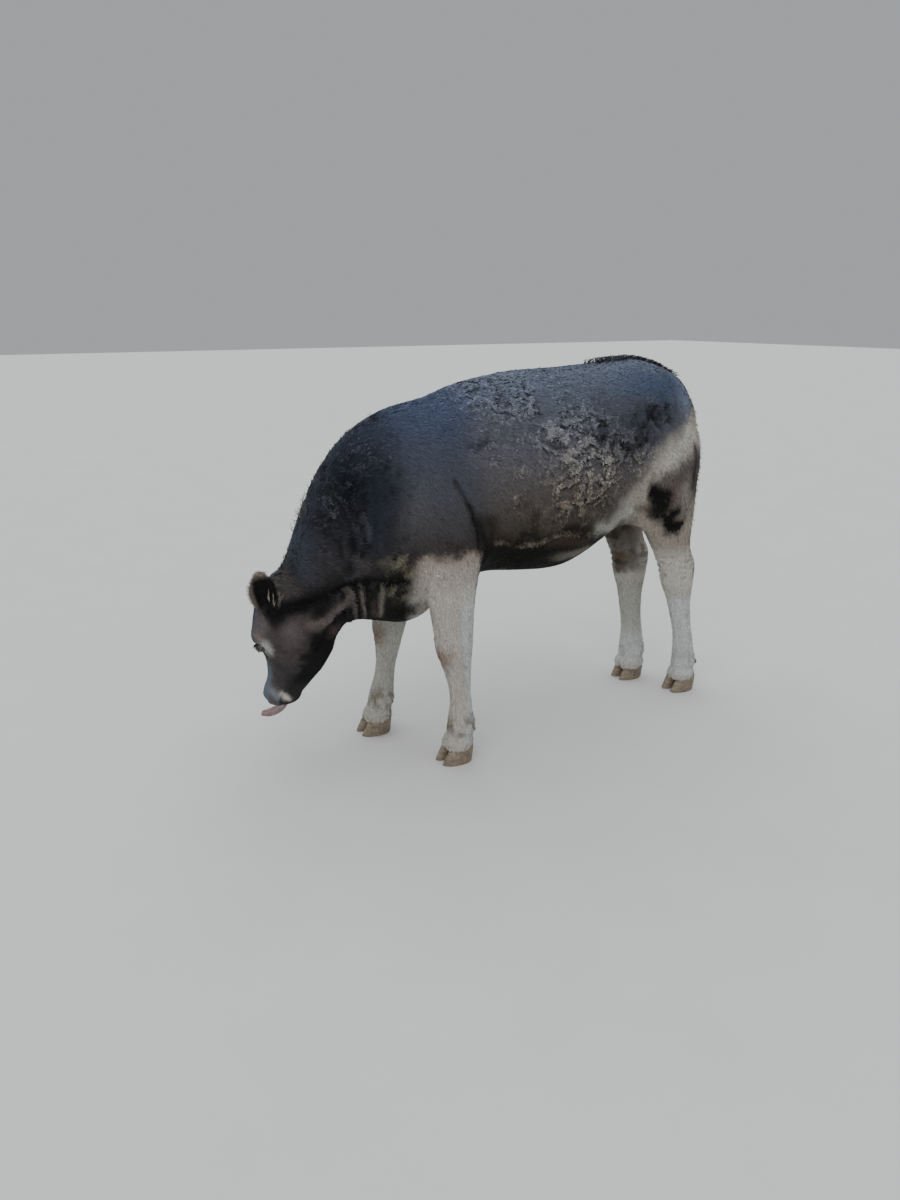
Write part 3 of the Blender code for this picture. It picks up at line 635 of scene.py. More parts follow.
def sculpt(co, normal):
    """Moves skin points out along their normals: folds, bones under the skin, lips, nostrils, lids."""
    h = head_places(co)
    heads = head_share(co)
    out = np.zeros(len(co))

    def on_head(centre, radii, by, power=2.0):
        nonlocal out
        for side in (1, -1):
            q = h.copy()
            q[:, 2] *= side
            out = out + heads * by * blob(q, centre, radii, power)

    def head_line(points, width, by):
        nonlocal out
        for side in (1, -1):
            q = h.copy()
            q[:, 2] *= side
            out = out + heads * by * near_line(q, points, width)

    on_head((0.122, 0.012, 0.074), (0.022, 0.014, 0.016), 0.0040)  # brow over the eye
    on_head((0.152, 0.055, 0.080), (0.030, 0.014, 0.020), -0.0028)  # hollow under the eye
    on_head((0.118, 0.052, 0.085), (0.018, 0.016, 0.020), -0.0022)
    on_head((0.120, 0.115, 0.078), (0.055, 0.040, 0.030), 0.0030)  # chewing muscle
    on_head((0.195, 0.074, 0.062), (0.030, 0.010, 0.020), 0.0030)  # facial crest
    on_head((0.232, 0.044, 0.046), (0.045, 0.012, 0.020), -0.0020)
    on_head((0.250, 0.100, 0.045), (0.040, 0.018, 0.020), -0.0022)  # behind the corner of the mouth
    on_head((0.020, 0.070, 0.070), (0.020, 0.020, 0.030), -0.0020)
    on_head((0.050, -0.012, 0.0), (0.050, 0.020, 0.022), 0.0020)  # forehead
    on_head((0.352, 0.028, 0.036), (0.016, 0.007, 0.012), 0.0032)  # wing of the nostril
    on_head((0.358, 0.051, 0.042), (0.012, 0.006, 0.010), 0.0022)
    on_head((0.358, 0.039, 0.034), (0.0120, 0.0078, 0.0100), -0.0100)  # nostril
    on_head((0.346, 0.043, 0.046), (0.0110, 0.0045, 0.0100), -0.0045)  # its slit
    on_head((0.345, 0.105, 0.0), (0.022, 0.012, 0.030), 0.0030)  # chin
    head_line([(0.378, 0.082, 0.0), (0.372, 0.082, 0.022), (0.354, 0.083, 0.041), (0.328, 0.086, 0.049), (0.300, 0.091, 0.047)], 0.0032, -0.0060)  # mouth
    head_line([(0.380, 0.078, 0.0), (0.366, 0.075, 0.036), (0.345, 0.074, 0.052), (0.315, 0.078, 0.053)], 0.0060, 0.0018)  # upper lip
    head_line([(0.372, 0.090, 0.0), (0.350, 0.092, 0.038), (0.320, 0.094, 0.047)], 0.0060, 0.0014)  # lower lip
    head_line([(0.372, 0.030, 0.0), (0.378, 0.055, 0.0), (0.378, 0.072, 0.0)], 0.0028, -0.0012)  # groove down the muzzle
    head_line([(0.165, 0.045, 0.084), (0.185, 0.060, 0.070), (0.205, 0.085, 0.058)], 0.0040, -0.0012)
    head_line([(0.030, 0.120, 0.075), (0.075, 0.165, 0.068), (0.140, 0.180, 0.055), (0.190, 0.165, 0.045)], 0.010, -0.0018)

    left = mirrored(co, -1)  # both sides as if on her left, at negative y
    left[:, 1] = -np.abs(co[:, 1])
    body = (1 - heads) * (1 - ear_share(co)[0]) * (1 - tail_share(co))

    def line(points, width, by, which=0):
        nonlocal out
        share = body if which == 0 else body * (co[:, 1] * which > 0)
        out = out + share * by * near_line(left, points, width)

    # the crease behind the elbow and shoulder, and the edge of the shoulder blade
    line([(0.030, -0.180, 0.860), (0.060, -0.194, 0.768), (0.079, -0.190, 0.712), (0.080, -0.180, 0.650), (0.060, -0.165, 0.600)], 0.014, -0.0055)
    line([(-0.052, -0.172, 0.895), (-0.041, -0.175, 0.878), (-0.014, -0.190, 0.820), (0.012, -0.193, 0.759), (0.024, -0.192, 0.698), (0.031, -0.187, 0.640)], 0.0085, -0.0075)
    # the fringe along the belly
    line([(0.095, -0.186, 0.700), (0.178, -0.185, 0.674), (0.242, -0.196, 0.678), (0.287, -0.210, 0.698), (0.364, -0.211, 0.696), (0.430, -0.195, 0.676)], 0.0085, 0.0045)
    line([(0.100, -0.182, 0.682), (0.178, -0.180, 0.656), (0.242, -0.190, 0.658), (0.290, -0.203, 0.678), (0.364, -0.205, 0.676)], 0.0075, -0.0030)
    line([(-0.125, -0.150, 0.960), (-0.165, -0.140, 0.860), (-0.185, -0.130, 0.750)], 0.022, -0.0050)
    # folds down the neck
    line([(-0.246, -0.110, 0.945), (-0.262, -0.125, 0.850), (-0.277, -0.121, 0.736), (-0.262, -0.118, 0.650)], 0.013, -0.0035)
    line([(-0.318, -0.074, 0.915), (-0.334, -0.086, 0.850), (-0.345, -0.092, 0.796), (-0.342, -0.099, 0.740), (-0.330, -0.103, 0.690)], 0.010, -0.0045)
    line([(-0.300, -0.100, 0.870), (-0.306, -0.108, 0.790), (-0.300, -0.112, 0.700)], 0.010, -0.0030)
    line([(-0.372, -0.070, 0.830), (-0.380, -0.085, 0.760), (-0.372, -0.092, 0.690)], 0.009, -0.0032)
    line([(-0.205, -0.130, 0.860), (-0.215, -0.135, 0.760), (-0.210, -0.130, 0.660), (-0.190, -0.120, 0.580)], 0.013, -0.0036)
    out = out - (1 - ear_share(co)[0]) * 0.0060 * near_line(left, [(-0.540, -0.056, 0.550), (-0.480, -0.084, 0.564), (-0.389, -0.083, 0.594), (-0.347, -0.095, 0.610), (-0.289, -0.104, 0.611), (-0.229, -0.113, 0.605)], 0.0100)
    # wrinkles of the throat, the strap from the cheek, the groove under it and its lobe
    for ridge, width, by in (
        ([(-0.348, -0.092, 0.592), (-0.338, -0.085, 0.545), (-0.315, -0.058, 0.499)], 0.0085, 0.0068),
        ([(-0.314, -0.099, 0.602), (-0.305, -0.090, 0.555), (-0.285, -0.055, 0.494)], 0.0070, 0.0062),
        ([(-0.275, -0.100, 0.590), (-0.268, -0.090, 0.545), (-0.258, -0.068, 0.496)], 0.0075, 0.0045),
        ([(-0.250, -0.100, 0.580), (-0.246, -0.090, 0.540), (-0.240, -0.062, 0.494)], 0.0095, 0.0055),
        ([(-0.366, -0.086, 0.580), (-0.358, -0.080, 0.540), (-0.340, -0.055, 0.494)], 0.0075, -0.0062),
        ([(-0.331, -0.096, 0.597), (-0.321, -0.088, 0.550), (-0.300, -0.057, 0.496)], 0.0062, -0.0058),
        ([(-0.294, -0.100, 0.596), (-0.287, -0.090, 0.550), (-0.272, -0.064, 0.494)], 0.0070, -0.0050),
        ([(-0.225, -0.112, 0.590), (-0.222, -0.096, 0.545), (-0.216, -0.070, 0.500)], 0.0090, -0.0045),
    ):
        out = out + (1 - heads * 0.5) * by * near_line(left, ridge, width)
    out = out + 0.0062 * near_line(left, [(-0.470, -0.085, 0.500), (-0.440, -0.089, 0.500), (-0.410, -0.090, 0.522), (-0.358, -0.083, 0.545)], 0.0150)
    out = out - 0.0065 * near_line(left, [(-0.445, -0.070, 0.425), (-0.425, -0.082, 0.464), (-0.397, -0.086, 0.500), (-0.357, -0.076, 0.524)], 0.0080)
    out = out + 0.0050 * blob(left, (-0.393, -0.078, 0.470), (0.020, 0.03, 0.016), 2)
    # brisket
    line([(-0.215, -0.085, 0.560), (-0.160, -0.110, 0.545), (-0.105, -0.120, 0.545)], 0.012, -0.0040)
    # flank: the fold from the stifle, and the hollow before the hook bone
    line([(0.735, -0.170, 0.690), (0.690, -0.180, 0.740), (0.650, -0.195, 0.800), (0.622, -0.205, 0.860)], 0.020, 0.0050)
    line([(0.690, -0.160, 0.665), (0.640, -0.185, 0.720), (0.600, -0.200, 0.790)], 0.016, -0.0050)
    line([(0.742, -0.190, 0.960), (0.735, -0.195, 0.880), (0.745, -0.190, 0.800), (0.770, -0.185, 0.730)], 0.022, -0.0040)
    out = out - body * 0.0075 * blob(left, (0.610, -0.165, 1.050), (0.060, 0.060, 0.060))
    out = out + body * 0.0050 * blob(left, (0.690, -0.180, 1.090), (0.035, 0.040, 0.030))
    out = out - body * 0.0040 * blob(left, (0.800, -0.160, 1.080), (0.060, 0.050, 0.045))
    line([(0.905, -0.150, 0.960), (0.905, -0.170, 0.860), (0.890, -0.170, 0.760), (0.880, -0.160, 0.690)], 0.016, -0.0040)
    # ribs, only just seen
    ribs = np.sin((co[:, 0] + 0.30 * (co[:, 2] - 0.85)) / 0.047 * 2 * math.pi)
    out = out + body * 0.0013 * ribs * blob(left, (0.330, -0.220, 0.860), (0.22, 0.10, 0.17), 4)
    # backbone
    back = ease(1.05, 1.12, co[:, 2])
    out = out + body * back * (0.0030 * np.exp(-((co[:, 1] / 0.022) ** 2)) - 0.0025 * np.exp(-(((np.abs(co[:, 1]) - 0.058) / 0.025) ** 2)))
    # belly: middle line and navel
    under = ease(0.66, 0.60, co[:, 2]) * ease(0.10, 0.20, co[:, 0]) * ease(0.70, 0.60, co[:, 0])
    out = out + body * under * 0.003 * np.exp(-((co[:, 1] / 0.012) ** 2))
    out = out + body * 0.006 * blob(co, (0.400, 0.0, 0.550), (0.022, 0.014, 0.03))
    # under the tail
    out = out + body * 0.0070 * blob(co, (0.985, 0, 0.925), (0.05, 0.020, 0.034))
    out = out - body * 0.0060 * near_line(co, [(0.99, 0, 0.955), (0.99, 0, 0.895)], 0.0045)
    out = out - body * 0.0060 * blob(co, (1.000, 0, 0.995), (0.05, 0.010, 0.012))
    # legs
    for foot, (side, step, out_by, stout) in FEET.items():
        mx, my = leg_middle(foot, co[:, 2])
        own = (np.hypot(co[:, 0] - mx, co[:, 1] - my) < 0.11) * ease(0.64, 0.56, co[:, 2])
        q = np.column_stack([co[:, 0] - mx, (co[:, 1] - my), co[:, 2]])
        outside = np.abs(q[:, 1])
        if foot.startswith("fore"):
            knee = [(0.395, 0.014), (0.372, 0.010), (0.345, 0.010)]
            out = out + own * 0.0022 * blob(q, (-0.050, 0, 0.375), (0.030, 0.045, 0.035))
            out = out + own * 0.0025 * blob(np.column_stack([q[:, 0], outside, q[:, 2]]), (0.0, 0.046, 0.345), (0.020, 0.02, 0.018))
            out = out + own * 0.0025 * blob(q, (0.052, 0, 0.390), (0.018, 0.02, 0.025))
            for z, by in ((0.418, 0.0), (0.332, 0.0)):
                out = out - own * 0.0016 * np.exp(-(((q[:, 2] - z - 0.15 * outside) / 0.0055) ** 2)) * ease(0.0, -0.03, q[:, 0])
        else:
            out = out + own * 0.0035 * blob(q, (0.078, 0, 0.505), (0.022, 0.022, 0.024))  # point of the hock
            out = out - own * 0.0060 * blob(np.column_stack([q[:, 0], outside, q[:, 2]]), (0.045, 0.045, 0.560), (0.022, 0.03, 0.06))
            for z in (0.540, 0.516, 0.492, 0.468, 0.446):
                wave = 0.004 * np.sin(60 * q[:, 1] + 40 * z)
                out = out - own * 0.0028 * np.exp(-(((q[:, 2] - z - wave + 0.25 * q[:, 0]) / 0.0050) ** 2)) * ease(0.045, -0.01, q[:, 0])
        # tendons behind the cannon, the cleft of the foot, the bulge of the fetlock
        cannon = ease(0.155, 0.19, q[:, 2]) * ease(0.34, 0.30, q[:, 2])
        out = out - own * 0.0030 * cannon * np.exp(-(((q[:, 0] - 0.012) / 0.0075) ** 2))
        out = out + own * 0.0018 * cannon * np.exp(-(((q[:, 0] - 0.028) / 0.009) ** 2))
        cleft = ease(0.105, 0.060, q[:, 2]) * np.exp(-((q[:, 1] / 0.0055) ** 2))
        out = out - own * 0.0075 * cleft
        out = out - own * 0.0022 * np.exp(-(((q[:, 2] - 0.088) / 0.010) ** 2))
        out = out + own * 0.0018 * np.exp(-(((q[:, 2] - 0.062) / 0.010) ** 2))
    # the hollow of the ears, with ridges along it
    share, along, across_by, depth = ear_share(co)
    facing = np.zeros(len(co))
    for side in (1, -1):
        base, tip_way, face, across = ear_frame(side)
        close = np.linalg.norm(co - (base + tip_way * EAR_LENGTH * 0.55), axis=1) < 0.12
        facing = np.where(close, normal @ face, facing)
    inner = share * ease(0.2, 0.7, facing)
    out = out + inner * 0.0010 * np.cos(across_by * 9.0) * ease(1.0, 0.7, along)
    return out


def matted(co):
    """1 where the coat is matted into ridges: a band from the back over the flank to the hip."""
    left = co.copy()
    left[:, 1] = -np.abs(co[:, 1])
    band = near_line(left, [(0.120, -0.060, 1.150), (0.200, -0.133, 1.113), (0.242, -0.176, 1.072), (0.295, -0.204, 1.028), (0.359, -0.221, 0.982), (0.432, -0.231, 0.918), (0.410, -0.235, 0.861), (0.350, -0.236, 0.836)], 0.098)
    band = np.clip(band * 1.5, 0, 1)
    band = np.maximum(band, 0.85 * near_line(left, [(0.420, -0.215, 1.000), (0.520, -0.222, 0.960), (0.600, -0.205, 0.925)], 0.060))
    band = np.maximum(band, 0.60 * blob(left, (0.685, -0.195, 1.045), (0.055, 0.08, 0.040), 3))
    band = np.maximum(band, 0.70 * near_line(left, [(0.330, -0.225, 0.760), (0.400, -0.220, 0.770), (0.460, -0.210, 0.800)], 0.040))
    neck = 0.55 * near_line(left, [(-0.400, -0.030, 0.870), (-0.385, -0.060, 0.800), (-0.350, -0.080, 0.900), (-0.300, -0.060, 0.960)], 0.055)
    throat = 0.5 * blob(left, (-0.170, -0.110, 0.590), (0.080, 0.06, 0.070), 3)
    odd = 0.5 * ease(0.55, 0.85, rough(co, 0.075, 71, 2)) * blob(left, (0.150, -0.190, 0.900), (0.28, 0.20, 0.20), 4)
    return np.clip(np.maximum.reduce([band * ease(-1.0, -0.25, rough(co, 0.09, 5, 2)), neck, throat, odd]), 0, 1)


def curls(co):
    """Height of the matted ridges, -1 to 1: short and wavy, on a slant."""
    warp = 0.016 * np.column_stack([noise(co, 0.040, 31), noise(co, 0.040, 32), noise(co, 0.040, 33)])
    q = co + warp
    q = np.column_stack([0.62 * q[:, 0] - 0.25 * q[:, 2], 0.7 * q[:, 1], 1.05 * q[:, 2] + 0.30 * q[:, 0]])
    a = 1 - np.abs(noise(q, 0.0200, 41)) * 2.5
    b = 1 - np.abs(noise(q, 0.0105, 42)) * 2.5
    return np.clip(0.66 * a + 0.34 * b, -1, 1)


def lids(co, normal):
    """Opens the skin over each eye and rolls the lids round the ball."""
    moved = co.copy()
    for name, (middle, way, back, top) in EYES.items():
        d = co - middle
        r = np.linalg.norm(d, axis=1)
        close = r < 0.045
        q = d[close] / r[close, None]
        u, v, w = q @ back, q @ top, q @ way
        front = w > 0.05
        # place on the ball, measured along its surface
        angle = np.arccos(np.clip(w, -1, 1))
        flat = np.hypot(u, v) + 1e-9
        bu, bv = u / flat * angle * EYE_RADIUS, v / flat * angle * EYE_RADIUS
        # an almond, its front corner lower
        bv = bv + 0.10 * bu
        tall = np.where(bv > 0, LID_UP, LID_DOWN)
        shape = np.sqrt((np.abs(bu) / LID_BACK) ** 2.2 + (np.abs(bv) / tall) ** 2.0 + 1e-12)
        rr = r[close]
        open_r = EYE_RADIUS - 0.0042
        lid_r = EYE_RADIUS + 0.0017 + 0.0012 * np.exp(-(((shape - 1.22) / 0.16) ** 2))
        target = np.where(shape < 1, open_r, lid_r)
        edge = ease(0.90, 1.06, shape)
        target = open_r + (lid_r - open_r) * edge
        # crease above the upper lid and below the lower one
        crease = -0.0016 * np.exp(-(((shape - 1.62) / 0.14) ** 2)) - 0.0008 * np.exp(-(((shape - 2.1) / 0.14) ** 2))
        stay = ease(1.25, 2.1, shape)
        new_r = np.where(front, target * (1 - stay) + rr * stay + crease, rr)
        part = moved[close]
        part = middle + q * new_r[:, None]
        keep = ~front | (shape > 3.2)
        part[keep] = co[close][keep]
        moved[close] = part
    return moved


def toe_plane(co):
    """Height over the sloping line of the coronet."""
    up = unit((-0.26, 0, 0.966))
    best = np.full(len(co), 1e9)
    for foot in FEET:
        x, y = foot_place(foot)
        mine = (np.abs(co[:, 0] - x) < 0.12) & (np.abs(co[:, 1] - y) < 0.09)
        d = (co - np.array([x, y, 0.050])) @ up
        best = np.where(mine, d, best)
    return best, up


def finish_skin(whole):
    mesh = whole.data
    # finer faces round the eyes, the nostrils and the mouth
    co = points_of(mesh)
    h = head_places(co)
    fine = head_share(co) * np.maximum(ease(0.285, 0.30, h[:, 0]), 0)
    for middle, way, back, top in EYES.values():
        fine = np.maximum(fine, (np.linalg.norm(co - middle, axis=1) < 0.042) * 1.0)
    work = bmesh.new()
    work.from_mesh(mesh)
    work.verts.ensure_lookup_table()
    picked = [e for e in work.edges if fine[e.verts[0].index] > 0.5 and fine[e.verts[1].index] > 0.5]
    bmesh.ops.subdivide_edges(work, edges=picked, cuts=1, use_grid_fill=True)
    work.to_mesh(mesh)
    work.free()
    co, normal = points_of(mesh), normals_of(mesh)
    co = co - normal * coat_depth(co)[:, None]
    clumps = matted(co) * (1 - head_share(co))
    co = co + normal * (sculpt(co, normal) + clumps * (0.0048 * curls(co) - 0.0008))[:, None]
    set_points(mesh, co)
    co = lids(points_of(mesh), normals_of(mesh))
    d, up = toe_plane(co)
    low = d < 0.0004
    co[low] += (0.0004 - d[low])[:, None] * up
    set_points(mesh, co)
    faces = sum(len(f.vertices) - 2 for f in mesh.polygons)
    if faces > SKIN_TRIANGLES:
        h = head_places(co)
        keep = 0.55 * head_share(co)
        for middle, way, back, top in EYES.values():
            keep = np.maximum(keep, 0.9 * (np.linalg.norm(co - middle, axis=1) < 0.034))
        keep = np.maximum(keep, 0.75 * ear_share(co)[0])
        keep = np.maximum(keep, 0.35 * ease(0.56, 0.50, co[:, 2]))
        group = whole.vertex_groups.new(name="spend")
        weights = np.round(1 - keep, 1)
        for w in np.unique(weights):
            group.add(np.where(weights == w)[0].tolist(), float(max(w, 0.05)), "REPLACE")
        # a fine grain keeps the faces even over the flat of the body while their number falls
        work = bmesh.new()
        work.from_mesh(mesh)
        true_form = BVHTree.FromBMesh(work)
        work.free()
        plain = (1 - head_share(co)) * (1 - ear_share(co)[0]) * ease(0.45, 0.60, co[:, 2])
        grain = np.random.default_rng(9).uniform(-1, 1, len(co)) * 0.00055 * plain
        set_points(mesh, co + normals_of(mesh) * grain[:, None])
        fewer = whole.modifiers.new("fewer", "DECIMATE")
        fewer.vertex_group = "spend"
        fewer.vertex_group_factor = 0.6
        fewer.ratio = SKIN_TRIANGLES / faces
        baked(whole)
        whole.vertex_groups.clear()
        co = points_of(whole.data)
        for i in range(len(co)):
            found = true_form.find_nearest(Vector(co[i]), 0.003)
            if found[0] is not None:
                co[i] = found[0]
        set_points(whole.data, co)
    work = bmesh.new()
    work.from_mesh(whole.data)
    bmesh.ops.triangulate(work, faces=work.faces)
    loose = [v for v in work.verts if not v.link_faces]
    bmesh.ops.delete(work, geom=loose, context="VERTS")
    work.to_mesh(whole.data)
    work.free()
    whole.data.shade_smooth()
    return whole


# ---------------------------------------------------------------- markings and painted light and shade, shared by skin and coat
def tone(r, g, b):
    """A colour given as it looks on a screen, 0 to 255."""
    c = np.array([r, g, b], float) / 255
    return np.where(c <= 0.04045, c / 12.92, ((c + 0.055) / 1.055) ** 2.4)


def seen(r, g, b):
    """The coat colour that looks like this in the soft light of the studio."""
    return tone(r, g, b) / 0.62


def bands(height, table):
    """Colour by height, from named bands given from the top down."""
    table = sorted(table)
    z = [row[0] for row in table]
    tones = np.array([seen(*row[1]) for row in table])
    return np.column_stack([np.interp(height, z, tones[:, k]) for k in range(3)])


# Colour by height for barrel, shoulder and neck: bluish at the top as painted reflection of the sky, dark low down as
# painted shade, near black under the belly.
BARREL = [(1.160, (76, 83, 96)), (1.100, (73, 79, 90)), (1.020, (71, 73, 81)), (0.940, (77, 76, 81)), (0.860, (73, 69, 69)), (0.780, (66, 61, 57)), (0.720, (55, 50, 44)), (0.685, (34, 30, 25)), (0.660, (11, 10, 9)), (0.580, (6, 6, 5))]
SHOULDER = [(1.130, (58, 67, 88)), (1.060, (55, 63, 81)), (0.980, (57, 62, 74)), (0.880, (59, 61, 68)), (0.800, (60, 60, 63)), (0.740, (56, 53, 54)), (0.700, (48, 44, 43)), (0.640, (36, 32, 30)), (0.580, (20, 18, 17))]
NECK_TONES = [(1.080, (40, 47, 60)), (0.980, (34, 39, 50)), (0.900, (26, 30, 38)), (0.800, (36, 37, 43)), (0.700, (40, 39, 42)), (0.640, (32, 31, 32)), (0.580, (22, 21, 21))]


def markings_and_painted_light(p, facing):
    """The colour of the coat at points, from the places of her named markings, with painted light and shade laid in:
    sky reflection on top, shade underneath and in creases, folds and ridges.
    """
    left = p.copy()
    left[:, 1] = -np.abs(p[:, 1])
    broad, fine, tiny = rough(p, 0.16, 1), rough(p, 0.045, 2), rough(p, 0.014, 3, 2)
    x, z = p[:, 0] + 0.020 * broad, p[:, 2] + 0.014 * fine
    heads = head_share(p)

    def lay(c, colour, share):
        return mixed(c, colour if np.ndim(colour) == 2 else np.asarray(colour) + 0 * c, np.clip(share, 0, 1))

    shaken = np.column_stack([noise(p, 0.030, 81), noise(p, 0.030, 82), noise(p, 0.030, 83)])

    def stroke(points, width, ragged=0.0):
        flat = np.array((1.0, 0.4, 1.0))
        return near_line((left + ragged * shaken) * flat, np.asarray(points) * flat, width)

    def spot(centre, radii, power=3.0, ragged=0.0):
        return blob(left + ragged * shaken, centre, radii, power)

    # colour by height: painted sky reflection on top, painted shade underneath
    c = bands(z, BARREL)
    c = lay(c, bands(z, SHOULDER), ease(0.10, -0.02, x + 0.10 * (z - 0.85)))
    neck = ease(-0.150, -0.255, x) * (1 - heads)
    c = lay(c, bands(z, NECK_TONES), neck)
    # paler and bluish along the top of the neck: painted light from the sky
    c = lay(c, seen(58, 63, 72), neck * 0.40 * ease(0.045, 0.0, np.abs(p[:, 1] - 0.02)) * ease(0.60, 0.70, p[:, 2]))
    # dark side of the neck with black streaks of painted shade along its folds, and a bluish patch behind them
    c = lay(c, seen(12, 16, 24), neck * (spot((-0.335, -0.075, 0.880), (0.050, 0.07, 0.115), 3, 0.02) * (0.8 + 0.5 * fine)))
    c = lay(c, seen(16, 15, 18), neck * spot((-0.385, -0.060, 0.790), (0.050, 0.06, 0.090), 3, 0.02) * ease(-0.4, 0.5, fine) * 0.8)
    c = lay(c, seen(26, 32, 42), ease(-0.10, -0.22, x) * spot((-0.278, -0.110, 0.800), (0.036, 0.06, 0.100), 3, 0.014) * 0.75)
    c = lay(c, seen(7, 9, 14), neck * stroke([(-0.318, -0.074, 0.915), (-0.334, -0.086, 0.850), (-0.345, -0.092, 0.796), (-0.342, -0.099, 0.740), (-0.330, -0.103, 0.690)], 0.013, 0.010) * 0.97)
    c = lay(c, seen(12, 13, 18), neck * stroke([(-0.305, -0.100, 0.830), (-0.312, -0.110, 0.770), (-0.300, -0.112, 0.710)], 0.009, 0.010) * 0.9)
    c = lay(c, seen(13, 13, 17), neck * stroke([(-0.372, -0.070, 0.830), (-0.380, -0.085, 0.760), (-0.372, -0.092, 0.700)], 0.009, 0.010) * 0.9)
    c = lay(c, seen(66, 62, 60), neck * spot((-0.335, -0.104, 0.655), (0.070, 0.05, 0.030), 3, 0.012) * ease(-0.3, 0.4, fine) * 0.6)
    c = lay(c, seen(50, 56, 68), neck * spot((-0.460, -0.020, 0.690), (0.035, 0.05, 0.080), 3, 0.010) * 0.8)
    c = lay(c, seen(14, 14, 17), ease(-0.14, -0.24, x) * (1 - heads) * ease(0.25, 0.75, rough(np.column_stack([p[:, 0] * 1.6, p[:, 1], p[:, 2] * 0.6]), 0.040, 98, 3)) * 0.8)
    c = lay(c, seen(62, 62, 68), ease(-0.14, -0.24, x) * (1 - heads) * ease(0.35, 0.85, rough(np.column_stack([p[:, 0] * 1.6, p[:, 1], p[:, 2] * 0.6]), 0.034, 99, 3)) * 0.5)
    # withers and top of the back are bluish, and pale along the top line: painted reflection of the sky
    c = lay(c, seen(56, 64, 84), ease(1.06, 1.10, z) * spot((-0.030, -0.060, 1.110), (0.150, 0.10, 0.050)) * 0.5)
    # a few scuffs on the shoulder
    for place in ((-0.094, -0.115, 1.001), (-0.022, -0.132, 1.026), (0.057, -0.166, 0.997), (0.020, -0.160, 0.985)):
        c = lay(c, seen(32, 35, 44), spot(place, (0.026, 0.04, 0.012), 2, 0.016) * ease(-0.1, 0.5, fine) * 0.9)
    # rump, bluish, with a bright spot high on it: painted reflection of the sky
    c = lay(c, seen(51, 62, 84), spot((0.700, -0.125, 1.115), (0.150, 0.11, 0.050), 3, 0.010) * 0.85)
    c = lay(c, seen(98, 107, 124), spot((0.860, -0.120, 1.080), (0.055, 0.08, 0.070), 3, 0.010) * 0.7)
    c = lay(c, seen(58, 61, 69), stroke([(0.460, -0.180, 1.080), (0.560, -0.190, 1.060), (0.640, -0.190, 1.060)], 0.045, 0.015) * 0.7)
    # hip, black and mottled
    hip = stroke([(0.440, -0.213, 1.000), (0.510, -0.223, 0.965), (0.570, -0.219, 0.945), (0.625, -0.213, 0.965), (0.650, -0.200, 1.010)], 0.040, 0.016)
    hip = np.maximum(hip, stroke([(0.640, -0.200, 1.020), (0.700, -0.194, 1.050), (0.740, -0.190, 1.040)], 0.034, 0.016))
    hip = np.maximum(hip, 0.85 * spot((0.600, -0.210, 1.005), (0.115, 0.08, 0.055), 4, 0.02))
    mottle = ease(-0.35, 0.45, rough(p, 0.026, 97, 2))
    c = lay(c, seen(46, 49, 57), hip * 0.55)
    c = lay(c, seen(13, 14, 17), hip * (0.25 + 1.0 * mottle) * (0.85 + 0.4 * tiny))
    # lower barrel: warm with dark scuffs
    c = lay(c, seen(80, 70, 64), stroke([(0.300, -0.236, 0.830), (0.345, -0.236, 0.820)], 0.055, 0.02) * ease(-0.2, 0.5, fine) * 0.7)
    c = lay(c, seen(36, 32, 27), stroke([(0.160, -0.215, 0.770), (0.280, -0.225, 0.755), (0.400, -0.220, 0.740)], 0.045, 0.02) * ease(0.0, 0.7, rough(p, 0.030, 91)) * 0.75)
    # matted ridges: pale tips as painted highlights, painted shadow just under each crest, and dark valleys of painted
    # shade
    mat, height = matted(p), curls(p)
    crest_highlight = bands(z, [(1.120, (76, 82, 94)), (1.000, (102, 101, 104)), (0.900, (118, 114, 107)), (0.780, (94, 86, 75)), (0.650, (70, 64, 52))])
    crest_highlight = lay(crest_highlight, seen(56, 58, 66), ease(-0.20, -0.28, x))
    over = curls(p + np.array((0.0018, 0.0, 0.0055)))
    c = lay(c, crest_highlight * 1.12, mat * ease(0.25, 0.80, height) * 0.90 * (1 - 0.9 * np.clip(hip, 0, 1)))
    c = lay(c, seen(24, 23, 24), mat * ease(-0.05, 0.50, over) * ease(0.55, 0.05, height) * 1.0)
    c = lay(c, seen(40, 39, 41), mat * ease(-0.35, -0.85, height) * 0.5)
    # painted shade in the crease of the elbow and the one behind it, with a pool of painted shadow behind the elbow
    c = lay(c, seen(34, 30, 30), stroke([(-0.052, -0.172, 0.895), (-0.041, -0.175, 0.878), (-0.014, -0.190, 0.820)], 0.008, 0.005) * 0.9)
    c = lay(c, seen(5, 5, 5), stroke([(-0.014, -0.190, 0.820), (0.012, -0.193, 0.759), (0.024, -0.192, 0.698), (0.034, -0.187, 0.640)], 0.0100, 0.004) * 1.05)
    c = lay(c, seen(12, 11, 10), stroke([(0.018, -0.193, 0.770), (0.040, -0.192, 0.700), (0.052, -0.187, 0.640)], 0.024, 0.008) * 0.9)
    c = lay(c, seen(26, 22, 19), stroke([(0.060, -0.194, 0.768), (0.077, -0.190, 0.715), (0.085, -0.185, 0.680)], 0.020, 0.012) * 0.7)
    c = lay(c, seen(6, 6, 5), spot((0.075, -0.170, 0.650), (0.060, 0.07, 0.050), 3, 0.006) * 1.0)
    # painted shade along the lower barrel, just above the belly, broken up by noise
    c = lay(c, seen(24, 21, 18), ease(0.05, 0.08, x) * ease(0.48, 0.42, x) * ease(0.735, 0.715, z) * ease(-0.2, 0.4, rough(p, 0.030, 94)) * 0.8)
